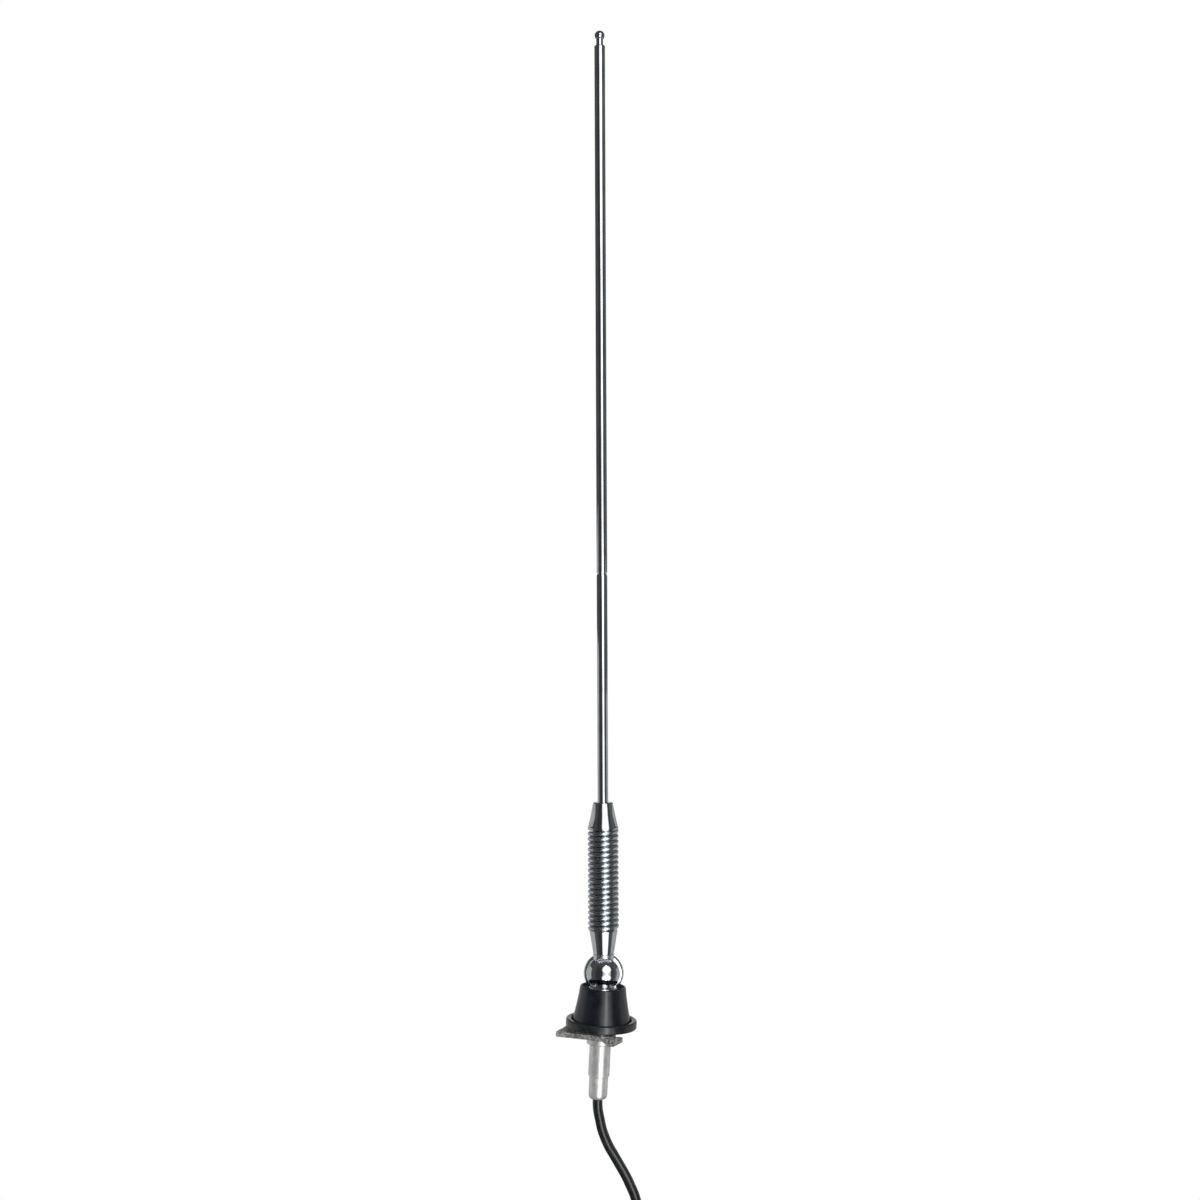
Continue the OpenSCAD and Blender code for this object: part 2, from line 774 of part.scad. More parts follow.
// A closed outline moved outwards by a distance: each corner goes out along both of its sides
function side_out(p, i) =
    let (d = unit(p[(i + 1) % len(p)] - p[i % len(p)])) [d[1], -d[0]];

function grown(p, by) = [
    for (i = [0:len(p) - 1])
        let (a = side_out(p, i + len(p) - 1), b = side_out(p, i)) p[i] + by * (a + b) / (1 + a * b)
];

// The strap around the hank and the tail
module hank_tie() {
    gap = 0.2;
    tail_back = plug_y + cable_d / 2;
    held = [
        [hank_x - hank_r, -hank_depth / 2], [hank_x + hank_r, -hank_depth / 2],
        [hank_x + hank_r, hank_depth / 2], [plug_x + cable_d, tail_back], [hank_x - hank_r, tail_back],
    ];
    color(rubber) translate([0, 0, tie_z - tie_w / 2])
        linear_extrude(height = tie_w) difference() {
            polygon(grown(held, gap + tie_t));
            polygon(grown(held, gap));
        }
}

module plug_grip() {
    color(rubber) translate([plug_x, plug_y, 0]) difference() {
        union() {
            translate([0, 0, plug_foot])
                cylinder(d1 = cable_d + 1.6, d2 = plug_grip_d - 1, h = plug_relief_len + eps);
            translate([0, 0, grip_z])
                cylinder(d = plug_grip_d, h = plug_grip_len);
        }
        translate([0, 0, grip_z])
            cylinder(r = pin_shank_r + seat_gap, h = plug_grip_len + eps);
    }
}

module plug_barrel() {
    color(zinc) translate([plug_x, plug_y, barrel_z])
        ring(plug_barrel_d / 2, plug_barrel_d / 2 - 0.7, plug_barrel_len);
}

module plug_insulator() {
    color(plastic) translate([plug_x, plug_y, barrel_z])
        ring(plug_barrel_d / 2 - 0.7 - seat_gap, pin_shank_r + seat_gap, plug_barrel_len);
}

module plug_pin() {
    point = 1.2;
    color(zinc) translate([plug_x, plug_y, 0]) union() {
        translate([0, 0, grip_z])
            cylinder(r = pin_shank_r, h = pin_z + seat_gap - grip_z + eps);
        translate([0, 0, pin_z + seat_gap])
            cylinder(d = plug_pin_d, h = plug_pin_len - point - seat_gap + eps);
        translate([0, 0, pin_z + plug_pin_len - point])
            cylinder(d1 = plug_pin_d, d2 = plug_pin_d - point, h = point);
    }
}

gasket();
boot();
clamp_washer();
clamp_nut();
shank();
upper_insulator();
base_knuckle();
swivel_screw();
swivel_washer();
feed_rod();
lower_insulator();
crimp_ferrule();
coax_end();
claw();
claw_retainer();
rear_knuckle();
lower_ferrule();
spring();
spring_braid();
upper_ferrule();
mast_outer();
mast_middle();
middle_shoe();
mast_inner();
inner_shoe();
tip_button();
cable();
cable_hank();
cable_tail();
hank_tie();
plug_grip();
plug_barrel();
plug_insulator();
plug_pin();
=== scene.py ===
"""A telescopic vehicle whip antenna: chrome mast on a spring and swivel, rubber boot, claw and cable."""
import math

import bpy
from mathutils import Matrix, Vector


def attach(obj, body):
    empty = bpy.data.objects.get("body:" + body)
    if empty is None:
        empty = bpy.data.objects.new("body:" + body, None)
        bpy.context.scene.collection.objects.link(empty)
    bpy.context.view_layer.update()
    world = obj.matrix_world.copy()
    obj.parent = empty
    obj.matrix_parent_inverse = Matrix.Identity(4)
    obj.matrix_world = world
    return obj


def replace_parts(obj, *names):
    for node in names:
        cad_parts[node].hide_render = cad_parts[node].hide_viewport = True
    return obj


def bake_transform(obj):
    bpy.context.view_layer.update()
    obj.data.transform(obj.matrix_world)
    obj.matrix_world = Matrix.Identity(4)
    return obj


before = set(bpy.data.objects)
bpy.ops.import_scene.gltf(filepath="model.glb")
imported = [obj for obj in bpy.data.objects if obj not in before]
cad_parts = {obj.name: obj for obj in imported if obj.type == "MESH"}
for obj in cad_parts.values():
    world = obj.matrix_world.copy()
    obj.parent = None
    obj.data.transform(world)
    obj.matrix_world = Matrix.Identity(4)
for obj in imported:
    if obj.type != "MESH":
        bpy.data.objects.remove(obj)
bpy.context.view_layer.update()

MM = 0.001
PIVOT_UP = 26.5
LEAN = math.radians(3)

# ---------------------------------------------------------------- camera, light and floor


def add_node(tree, kind, inputs=None, **settings):
    """Adds a node, sets its settings, and fills its inputs with values or links."""
    made = tree.nodes.new(kind)
    for key, value in settings.items():
        setattr(made, key, value)
    for key, value in (inputs or {}).items():
        if isinstance(value, bpy.types.NodeSocket):
            tree.links.new(value, made.inputs[key])
        else:
            made.inputs[key].default_value = value
    return made


def linear(hex_colour):
    """An sRGB hex colour as linear RGBA."""
    parts = [int(hex_colour[i:i + 2], 16) / 255 for i in (1, 3, 5)]
    return [*(c / 12.92 if c <= 0.04045 else ((c + 0.055) / 1.055) ** 2.4 for c in parts), 1.0]


CAMERA_BACK = 0.867
LENS = 52.0
VIEW_CENTRE = (-0.0108, 0.213)
ROLL = math.radians(2.75)


def set_camera():
    """A level camera at the middle of the mast, turned a little about its own line of sight."""
    data = bpy.data.cameras.new("camera")
    data.lens, data.sensor_width = LENS, 36.0
    cam = bpy.data.objects.new("camera", data)
    cam.location = (VIEW_CENTRE[0], -CAMERA_BACK, VIEW_CENTRE[1])
    cam.rotation_euler = (math.pi / 2, -ROLL, 0)
    bpy.context.scene.collection.objects.link(cam)
    bpy.context.scene.camera = cam


# The studio round the object, as chrome sees it: each stop is the way round from the camera, in degrees to
# the camera's right, and a grey. Dark flags stand at the sides, and a white backdrop behind the object.
ROUND = [(-180, 0.12), (-100, 0.08), (-66, 0.10), (-40, 0.045), (60, 0.06), (80, 0.14), (180, 0.12)]
BACKDROP = [(-180, 1), (-165, 0.85), (-150, 0), (150, 0), (165, 0.85), (180, 1)]

# The key softbox has two round panes, above and below eye level, with a fainter bar between them and a hot
# strip down it. Its places and half widths are in degrees.
KEY_TURN, PANE_CLIMB = 19, 26
PANE_WIDE, PANE_TALL = 28, 23
PANE_LIGHT, STRIP_LIGHT = 1.7, 8.0


def grey_ramp(tree, along, stops, low, high):
    """A ramp of greys: its stops are given on the scale from low to high that the input is also on."""
    share = add_node(tree, "ShaderNodeMapRange", {0: along, 1: low, 2: high, 3: 0.0, 4: 1.0})
    ramp = add_node(tree, "ShaderNodeValToRGB", {0: share.outputs[0]})
    spots = ramp.color_ramp.elements
    while len(spots) < len(stops):
        spots.new(0.5)
    for spot, (at, grey) in zip(spots, stops):
        spot.position = (at - low) / (high - low)
        spot.color = (grey, grey, grey, 1)
    return ramp.outputs[0]


def set_world():
    """White to the camera; to the object, a studio of pale walls and dark flags with one tall softbox."""
    world = bpy.data.worlds.new("studio")
    bpy.context.scene.world = world
    world.use_nodes = True
    tree = world.node_tree
    tree.nodes.clear()
    way = add_node(tree, "ShaderNodeTexCoord")
    part = add_node(tree, "ShaderNodeSeparateXYZ", {0: way.outputs["Generated"]})
    front = add_node(tree, "ShaderNodeMath", {0: part.outputs["Y"], 1: -1.0}, operation="MULTIPLY")
    turn = add_node(tree, "ShaderNodeMath", {0: part.outputs["X"], 1: front.outputs[0]}, operation="ARCTAN2")
    turn = add_node(tree, "ShaderNodeMath", {0: turn.outputs[0]}, operation="DEGREES").outputs[0]
    rise = part.outputs["Z"]
    flags = grey_ramp(tree, turn, ROUND, -180, 180)
    behind = add_node(tree, "ShaderNodeMath", {
        0: grey_ramp(tree, turn, BACKDROP, -180, 180),
        1: grey_ramp(tree, rise, [(-0.45, 0), (-0.3, 1), (0.25, 1), (0.4, 0)], -1, 1)}, operation="MULTIPLY")
    flags = add_node(tree, "ShaderNodeMix", {0: behind.outputs[0], 6: flags, 7: (0.9, 0.9, 0.9, 1)},
                     data_type="RGBA").outputs[2]
    ends = grey_ramp(tree, rise, [(-0.85, 1), (-0.6, 0), (0.5, 0), (0.8, 1)], -1, 1)
    room = add_node(tree, "ShaderNodeMix", {0: ends, 6: flags, 7: (0.09, 0.09, 0.09, 1)},
                    data_type="RGBA").outputs[2]
    climb = add_node(tree, "ShaderNodeMath", {0: rise}, operation="ARCSINE")
    climb = add_node(tree, "ShaderNodeMath", {0: climb.outputs[0]}, operation="DEGREES").outputs[0]
    above = add_node(tree, "ShaderNodeMath", {0: climb}, operation="ABSOLUTE")
    across = add_node(tree, "ShaderNodeMapRange", {0: turn, 1: KEY_TURN, 2: KEY_TURN + PANE_WIDE, 3: 0, 4: 1},
                      clamp=False)
    upward = add_node(tree, "ShaderNodeMapRange", {
        0: above.outputs[0], 1: PANE_CLIMB, 2: PANE_CLIMB + PANE_TALL, 3: 0, 4: 1}, clamp=False)
    across2 = add_node(tree, "ShaderNodeMath", {0: across.outputs[0], 1: 2}, operation="POWER")
    far = add_node(tree, "ShaderNodeMath", {
        0: upward.outputs[0], 1: upward.outputs[0], 2: across2.outputs[0]}, operation="MULTIPLY_ADD").outputs[0]
    panes = grey_ramp(tree, far, [(0, 1), (0.75, 1), (1.3, 0), (4, 0)], 0, 4)
    bar = add_node(tree, "ShaderNodeMath", {
        0: grey_ramp(tree, turn, [(KEY_TURN - 27, 0), (KEY_TURN - 19, 0.6), (KEY_TURN + 19, 0.6),
                                  (KEY_TURN + 27, 0)], -180, 180),
        1: grey_ramp(tree, climb, [(-14, 0), (-6, 1), (6, 1), (14, 0)], -90, 90)}, operation="MULTIPLY")
    pane = add_node(tree, "ShaderNodeMath", {0: panes, 1: bar.outputs[0]}, operation="MAXIMUM")
    heat = add_node(tree, "ShaderNodeMath", {
        0: grey_ramp(tree, turn, [(KEY_TURN - 5, 0), (KEY_TURN - 2, 1), (KEY_TURN + 1, 1), (KEY_TURN + 4, 0)],
                     -180, 180),
        1: STRIP_LIGHT, 2: PANE_LIGHT}, operation="MULTIPLY_ADD")
    box = add_node(tree, "ShaderNodeMath", {0: pane.outputs[0], 1: heat.outputs[0]}, operation="MULTIPLY")
    lit = add_node(tree, "ShaderNodeMix", {0: 1.0, 6: room, 7: box.outputs[0]},
                   data_type="RGBA", blend_type="ADD")
    ray = add_node(tree, "ShaderNodeLightPath")
    seen = add_node(tree, "ShaderNodeMix", {
        0: ray.outputs["Is Camera Ray"], 6: lit.outputs[2], 7: (1, 1, 1, 1)}, data_type="RGBA")
    back = add_node(tree, "ShaderNodeBackground", {"Color": seen.outputs[2], "Strength": 1.0})
    add_node(tree, "ShaderNodeOutputWorld", {"Surface": back.outputs[0]})
    bpy.context.scene.view_settings.view_transform = "Standard"


def add_softbox(name, place, aim, width, height, power, in_chrome=False):
    """A softbox at a place, aimed at a point, in metres; the chrome shows it only if it is told to."""
    data = bpy.data.lights.new(name, "AREA")
    data.shape, data.size, data.size_y, data.energy = "RECTANGLE", width, height, power
    box = bpy.data.objects.new(name, data)
    box.location = place
    box.rotation_euler = (Vector(aim) - Vector(place)).to_track_quat("-Z", "Y").to_euler()
    box.visible_camera = False
    box.visible_glossy = in_chrome
    bpy.context.scene.collection.objects.link(box)


def clear_selection():
    """Leaves edit mode and deselects everything."""
    if bpy.context.object and bpy.context.object.mode != "OBJECT":
        bpy.ops.object.mode_set(mode="OBJECT")
    bpy.ops.object.select_all(action="DESELECT")


def take(piece):
    """Makes a piece the only one selected."""
    clear_selection()
    piece.select_set(True)
    bpy.context.view_layer.objects.active = piece


FLOOR_R, FLOOR_UP = 0.39, -0.232


def set_floor():
    """A pale painted disc under the object, left out of the chrome's reflections."""
    clear_selection()
    bpy.ops.mesh.primitive_circle_add(vertices=96, radius=FLOOR_R, fill_type="NGON", location=(0, 0, FLOOR_UP))
    floor = bpy.context.object
    floor.name = "floor"
    bpy.ops.object.transform_apply(location=True, rotation=False, scale=False)
    paint = bpy.data.materials.new("pale_matt_paint")
    paint.use_nodes = True
    shader = paint.node_tree.nodes["Principled BSDF"]
    shader.inputs["Base Color"].default_value = linear("#ECECEC")
    shader.inputs["Roughness"].default_value = 0.8
    floor.data.materials.append(paint)
    floor.visible_glossy = False


set_camera()
set_world()
set_floor()
add_softbox("top_box", (0.15, -0.35, 1.6), (0, 0, -0.1), 1.6, 1.6, 40)
add_softbox("front_fill", (-0.5, -1.2, 0.1), (0, 0, 0), 0.8, 0.8, 12)
add_softbox("left_card", (-0.45, 0.23, -0.05), (0, 0, -0.05), 0.7, 0.5, 0.5, True)
add_softbox("right_card", (0.45, 0.23, -0.05), (0, 0, -0.05), 0.6, 0.5, 0.36, True)

# ---------------------------------------------------------------- finishes

MATERIALS = {}


def new_finish(name, colour, metallic, roughness, ior=None):
    """A material with plain values on its shader; returns its tree, its shader and its Object coordinates."""
    finish = bpy.data.materials.new(name)
    finish.use_nodes = True
    tree = finish.node_tree
    shader = tree.nodes["Principled BSDF"]
    shader.inputs["Base Color"].default_value = linear(colour)
    shader.inputs["Metallic"].default_value = metallic
    shader.inputs["Roughness"].default_value = roughness
    if ior:
        shader.inputs["IOR"].default_value = ior
    where = add_node(tree, "ShaderNodeTexCoord").outputs["Object"]
    MATERIALS[name] = finish
    return tree, shader, where


def per_mm(size):
    """The scale of a texture whose features are this many millimetres across."""
    return 1 / (size * MM)


def stretched(tree, where, share):
    """Object coordinates squeezed along Z, so that marks run along the piece."""
    return add_node(tree, "ShaderNodeMapping", {"Vector": where, "Scale": (1, 1, share)}).outputs[0]


def blotches(tree, where, size, detail=3.0):
    """Noise whose features are this many millimetres across."""
    noise = add_node(tree, "ShaderNodeTexNoise", {"Vector": where, "Scale": per_mm(size), "Detail": detail})
    return noise.outputs[0]


def vary_roughness(tree, shader, pattern, low, high):
    spread = add_node(tree, "ShaderNodeMapRange", {0: pattern, 1: 0.3, 2: 0.7, 3: low, 4: high})
    tree.links.new(spread.outputs[0], shader.inputs["Roughness"])


def vary_colour(tree, shader, pattern, dark, pale, low=0.35, high=0.65):
    ramp = add_node(tree, "ShaderNodeValToRGB", {0: pattern})
    ramp.color_ramp.elements[0].position, ramp.color_ramp.elements[0].color = low, linear(dark)
    ramp.color_ramp.elements[1].position, ramp.color_ramp.elements[1].color = high, linear(pale)
    tree.links.new(ramp.outputs[0], shader.inputs["Base Color"])
    return ramp.outputs[0]


def raise_grain(tree, shader, pattern, depth_mm, strength=1.0):
    """Bump from a pattern, this many millimetres deep."""
    bump = add_node(tree, "ShaderNodeBump", {
        "Height": pattern, "Distance": depth_mm * MM, "Strength": strength})
    tree.links.new(bump.outputs[0], shader.inputs["Normal"])


def make_finishes():
    # Decorative chrome plate on polished brass: a mirror with a faint ripple and soft smears
    tree, shader, where = new_finish("chrome_plate", "#C9CBCE", 1.0, 0.06)
    smear = blotches(tree, where, 9)
    vary_colour(tree, shader, smear, "#BFC2C6", "#D2D4D7")
    vary_roughness(tree, shader, smear, 0.035, 0.10)
    raise_grain(tree, shader, blotches(tree, where, 3.5), 0.006)

    # Satin chrome on the swivel's stamped half: soft, as its stamping wasn't buffed; its paler colour is a
    # painted reflection of the white surroundings
    tree, shader, where = new_finish("satin_chrome_painted_pale", "#DADBDD", 1.0, 0.28)
    buff = blotches(tree, where, 4)
    vary_colour(tree, shader, buff, "#D0D2D4", "#E2E3E4")
    vary_roughness(tree, shader, buff, 0.24, 0.33)
    raise_grain(tree, shader, blotches(tree, where, 1.5), 0.006)

    # Drawn and polished stainless tube: a mirror with fine marks along it; 0.1 mm marks drawn 0.5 mm apart
    tree, shader, where = new_finish("polished_stainless", "#C2C4C8", 1.0, 0.08)
    drawn = blotches(tree, stretched(tree, where, 0.02), 0.5)
    vary_colour(tree, shader, drawn, "#B8BBBF", "#CCCED1")
    vary_roughness(tree, shader, drawn, 0.05, 0.12)
    raise_grain(tree, shader, drawn, 0.002)

    # Chrome-plated spring wire: plate over drawn wire, a little duller than the ferrules
    tree, shader, where = new_finish("plated_spring_wire", "#C6C9CC", 1.0, 0.2)
    wire = blotches(tree, where, 1.2)
    vary_colour(tree, shader, wire, "#B4B7BA", "#D2D5D8")
    vary_roughness(tree, shader, wire, 0.16, 0.25)
    raise_grain(tree, shader, wire, 0.006)

    # Bright zinc plate on steel: half bright, with a faint cloudy spangle about 3 mm across
    tree, shader, where = new_finish("bright_zinc_plate", "#CBCCCB", 0.75, 0.34)
    spangle = blotches(tree, where, 3.0)
    vary_colour(tree, shader, spangle, "#C2C3C2", "#D6D7D5")
    vary_roughness(tree, shader, spangle, 0.31, 0.38)
    raise_grain(tree, shader, blotches(tree, where, 3.0), 0.004)

    # Bright turned steel for the washers and the screw
    tree, shader, where = new_finish("turned_steel", "#9DA0A4", 1.0, 0.24)
    lathe = blotches(tree, where, 0.6)
    vary_colour(tree, shader, lathe, "#8A8D92", "#A9ACB0")
    vary_roughness(tree, shader, lathe, 0.18, 0.32)

    # Sand-cast zinc alloy, tumbled: dull grey whose tone varies with the grain, with painted shade darkening
    # the grain's hollows; its 0.4 mm grain is drawn 0.9 mm across
    tree, shader, where = new_finish("cast_zinc_alloy", "#828381", 0.55, 0.5)
    grit_and_shade = blotches(tree, where, 0.9, 6)
    # the dark end of this ramp falls in the grain's hollows: painted shade
    vary_colour(tree, shader, grit_and_shade, "#4A4B4A", "#A2A3A0", 0.36, 0.64)
    vary_roughness(tree, shader, grit_and_shade, 0.35, 0.6)
    raise_grain(tree, shader, grit_and_shade, 0.22)

    # Moulded EPDM rubber: satin black with a cool tint; its 0.1 mm grain is drawn 0.5 mm apart to show
    tree, shader, where = new_finish("moulded_epdm_rubber", "#0D0E11", 0.0, 0.23, 1.5)
    bloom = blotches(tree, where, 6)
    vary_colour(tree, shader, bloom, "#0B0C0F", "#131519")
    vary_roughness(tree, shader, bloom, 0.19, 0.27)
    raise_grain(tree, shader, blotches(tree, where, 0.5), 0.012)

    # Soft sealing rubber: smoother and blacker than the boot, with a wetter gloss
    tree, shader, where = new_finish("soft_sealing_rubber", "#17181A", 0.0, 0.28, 1.5)
    wipe = blotches(tree, where, 4)
    vary_colour(tree, shader, wipe, "#101113", "#1A1B1D")
    vary_roughness(tree, shader, wipe, 0.18, 0.27)
    raise_grain(tree, shader, blotches(tree, where, 0.8), 0.01)

    # Natural nylon, turned: waxy cream with a little light inside it
    tree, shader, where = new_finish("natural_nylon", "#E2DCCB", 0.0, 0.4, 1.53)
    wax = blotches(tree, where, 2.5)
    vary_colour(tree, shader, wax, "#DAD3C0", "#E9E4D6")
    vary_roughness(tree, shader, wax, 0.34, 0.48)
    shader.inputs["Subsurface Weight"].default_value = 0.15
    shader.inputs["Subsurface Radius"].default_value = (0.002, 0.0015, 0.001)

    # Drawn brass: warm and half bright, with marks along the piece
    tree, shader, where = new_finish("drawn_brass", "#B9975A", 1.0, 0.25)
    marks = blotches(tree, stretched(tree, where, 0.05), 0.4)
    vary_colour(tree, shader, marks, "#A07F45", "#C9A768")
    vary_roughness(tree, shader, marks, 0.18, 0.34)

    # Tinned copper braid: wires crossing both ways round the cord, 0.5 mm apart
    tree, shader, where = new_finish("tinned_copper_braid", "#A8846A", 1.0, 0.35)
    part = add_node(tree, "ShaderNodeSeparateXYZ", {0: where})
    turn = add_node(tree, "ShaderNodeMath", {0: part.outputs["Y"], 1: part.outputs["X"]}, operation="ARCTAN2")
    climb = add_node(tree, "ShaderNodeMath", {0: part.outputs["Z"], 1: 2 * math.pi / (4 * MM)},
                     operation="MULTIPLY")
    weave = None
    for way in (4.0, -4.0):
        slant = add_node(tree, "ShaderNodeMath", {0: turn.outputs[0], 1: way, 2: climb.outputs[0]},
                         operation="MULTIPLY_ADD")
        wave = add_node(tree, "ShaderNodeMath", {0: slant.outputs[0]}, operation="SINE")
        weave = wave if weave is None else add_node(
            tree, "ShaderNodeMath", {0: weave.outputs[0], 1: wave.outputs[0]}, operation="MAXIMUM")
    vary_colour(tree, shader, weave.outputs[0], "#6E5442", "#BFA08A", 0.0, 1.0)
    raise_grain(tree, shader, weave.outputs[0], 0.12)

    # Extruded PVC jacket: smooth black, faintly rippled along its length
    tree, shader, where = new_finish("extruded_pvc_jacket", "#121314", 0.0, 0.22, 1.53)
    ripple = blotches(tree, where, 2.5)
    vary_colour(tree, shader, ripple, "#0F1011", "#17181A")
    vary_roughness(tree, shader, ripple, 0.18, 0.28)
    raise_grain(tree, shader, blotches(tree, where, 1.2), 0.012)

    # Brushed-loop strap: black nylon pile, its 0.2 mm loops drawn 0.6 mm apart
    tree, shader, where = new_finish("hook_and_loop_strap", "#1A1A1C", 0.0, 0.9)
    pile = add_node(tree, "ShaderNodeTexVoronoi", {"Vector": where, "Scale": per_mm(0.6)}).outputs["Distance"]
    vary_colour(tree, shader, pile, "#101012", "#2B2B2E", 0.1, 0.6)
    raise_grain(tree, shader, pile, 0.25)
    shader.inputs["Sheen Weight"].default_value = 0.4
    shader.inputs["Sheen Roughness"].default_value = 0.5

    # Moulded ABS grip: black with a fine spark-eroded grain, drawn 0.4 mm apart
    tree, shader, where = new_finish("moulded_abs", "#1B1C1E", 0.0, 0.42, 1.54)
    spark = blotches(tree, where, 0.4)
    vary_colour(tree, shader, spark, "#17181A", "#242527")
    vary_roughness(tree, shader, spark, 0.36, 0.5)
    raise_grain(tree, shader, spark, 0.02)

    # Bright nickel plate on turned brass: a warm near mirror
    tree, shader, where = new_finish("bright_nickel_plate", "#C8C2B6", 1.0, 0.14)
    haze = blotches(tree, where, 1.5)
    vary_colour(tree, shader, haze, "#B8B2A6", "#D3CEC4")
    vary_roughness(tree, shader, haze, 0.1, 0.22)


make_finishes()

# ---------------------------------------------------------------- ways of making


def give(piece, finish):
    """Gives a piece its finish."""
    piece.data.materials.clear()
    piece.data.materials.append(MATERIALS[finish])
    return piece


def smooth(piece, degrees=35):
    take(piece)
    bpy.ops.object.shade_smooth_by_angle(angle=math.radians(degrees))
    return piece


def settle(piece):
    """Puts a piece's place and turn into its mesh."""
    take(piece)
    bpy.ops.object.transform_apply(location=True, rotation=True, scale=True)
    return piece


def lean_with_mast(piece):
    """Carries a piece made upright over the swivel's axis to its place on the leaning mast."""
    piece.location = (0, 0, PIVOT_UP * MM)
    piece.rotation_euler = (0, -LEAN, 0)
    return settle(piece)


def mend(piece):
    """Merges doubles and turns the faces outwards."""
    take(piece)
    bpy.ops.object.mode_set(mode="EDIT")
    bpy.ops.mesh.select_all(action="SELECT")
    bpy.ops.mesh.remove_doubles(threshold=1e-7)
    bpy.ops.mesh.normals_make_consistent(inside=False)
    bpy.ops.object.mode_set(mode="OBJECT")
    return piece


def apply_all(piece):
    take(piece)
    for modifier in list(piece.modifiers):
        bpy.ops.object.modifier_apply(modifier=modifier.name)
    return piece


def arc(centre, radius, start, stop, steps):
    """Points of an arc in an outline, in degrees from outwards (0) to up (90)."""
    return [
        (centre[0] + radius * math.cos(math.radians(start + (stop - start) * i / steps)),
         centre[1] + radius * math.sin(math.radians(start + (stop - start) * i / steps)))
        for i in range(steps + 1)
    ]


def turned(name, outline, sides=96, angle=35):
    """Turns a piece on a lathe: a circle drawn out ring by ring through (radius, height) points in mm.
    An outline that ends where it starts is a ring; one that ends at radius 0 closes in a point."""
    closed = outline[0] == outline[-1]
    clear_selection()
    bpy.ops.mesh.primitive_circle_add(
        vertices=sides, radius=outline[0][0] * MM, location=(0, 0, outline[0][1] * MM),
        fill_type="NOTHING" if closed else "NGON")
    piece = bpy.context.object
    piece.name = name
    settle(piece)
    bpy.ops.object.mode_set(mode="EDIT")
    bpy.ops.mesh.select_mode(type="VERT")
    bpy.ops.mesh.select_all(action="SELECT")
    draw = bpy.ops.mesh.extrude_edges_move if closed else bpy.ops.mesh.extrude_region_move
    for (r0, z0), (r1, z1) in zip(outline, outline[1:]):
        draw(TRANSFORM_OT_translate={"value": (0, 0, (z1 - z0) * MM)})
        if r1 == 0:
            bpy.ops.mesh.merge(type="CENTER")
        elif r1 != r0:
            share = r1 / r0
            bpy.ops.transform.resize(value=(share, share, 1), center_override=(0, 0, z1 * MM))
    bpy.ops.object.mode_set(mode="OBJECT")
    mend(piece)
    return smooth(piece, angle)


def block(name, low, high):
    """A box between two corners, in millimetres; a tool for cutting, never a finished piece."""
    clear_selection()
    bpy.ops.mesh.primitive_cube_add(size=MM, location=[(a + b) / 2 * MM for a, b in zip(low, high)])
    tool = bpy.context.object
    tool.name = name
    tool.scale = [b - a for a, b in zip(low, high)]
    return settle(tool)


def combine(piece, tool, how):
    """Joins, cuts or keeps what is common to a piece and a tool, and uses the tool up."""
    cut = piece.modifiers.new("cut", "BOOLEAN")
    cut.operation, cut.object, cut.solver = how, tool, "EXACT"
    apply_all(piece)
    bpy.data.objects.remove(tool)
    return piece


# ---------------------------------------------------------------- cable

CABLE_D = 5.0
HANK_X, FOLD_TOP, FOLD_FOOT = 8.0, -117.5, -202.5
LAYER = 5.0
CABLE_DROP = [
    (0, 0, -36), (0, 0, -38), (0.46, 0, -42), (1.6, 0, -46.5), (2.76, 0, -51), (4.6, 0, -55.5), (6.9, 0, -60),
    (9.9, -0.3, -64.5), (12.9, -0.9, -69), (15.9, -1.7, -73.5), (18.4, -2.6, -78), (20.7, -3.5, -82.5),
    (22.1, -4.2, -87), (22.8, -4.7, -92), (23, -5, -97), (23, -5, -102), (23, -5, -106),
]
TAIL = [
    (-16.6, 8.6, -194), (-15.6, 9.8, -185), (-14.2, 11.2, -176), (-12.8, 12.2, -168), (-12, 12.5, -160),
    (-12, 12.5, -152),
]


def fold(centre_x, radius, foot, y_from, y_to, steps=10):
    """One fold of the hank: from its right run to its left at the foot, or from left to right at the top."""
    z = FOLD_FOOT if foot else FOLD_TOP
    points = []
    for i in range(steps + 1):
        turn = math.pi * i / steps
        side = math.cos(turn) if foot else -math.cos(turn)
        points.append((centre_x + radius * side, y_from + (y_to - y_from) * i / steps,
                       z + (-radius if foot else radius) * math.sin(turn)))
    return points


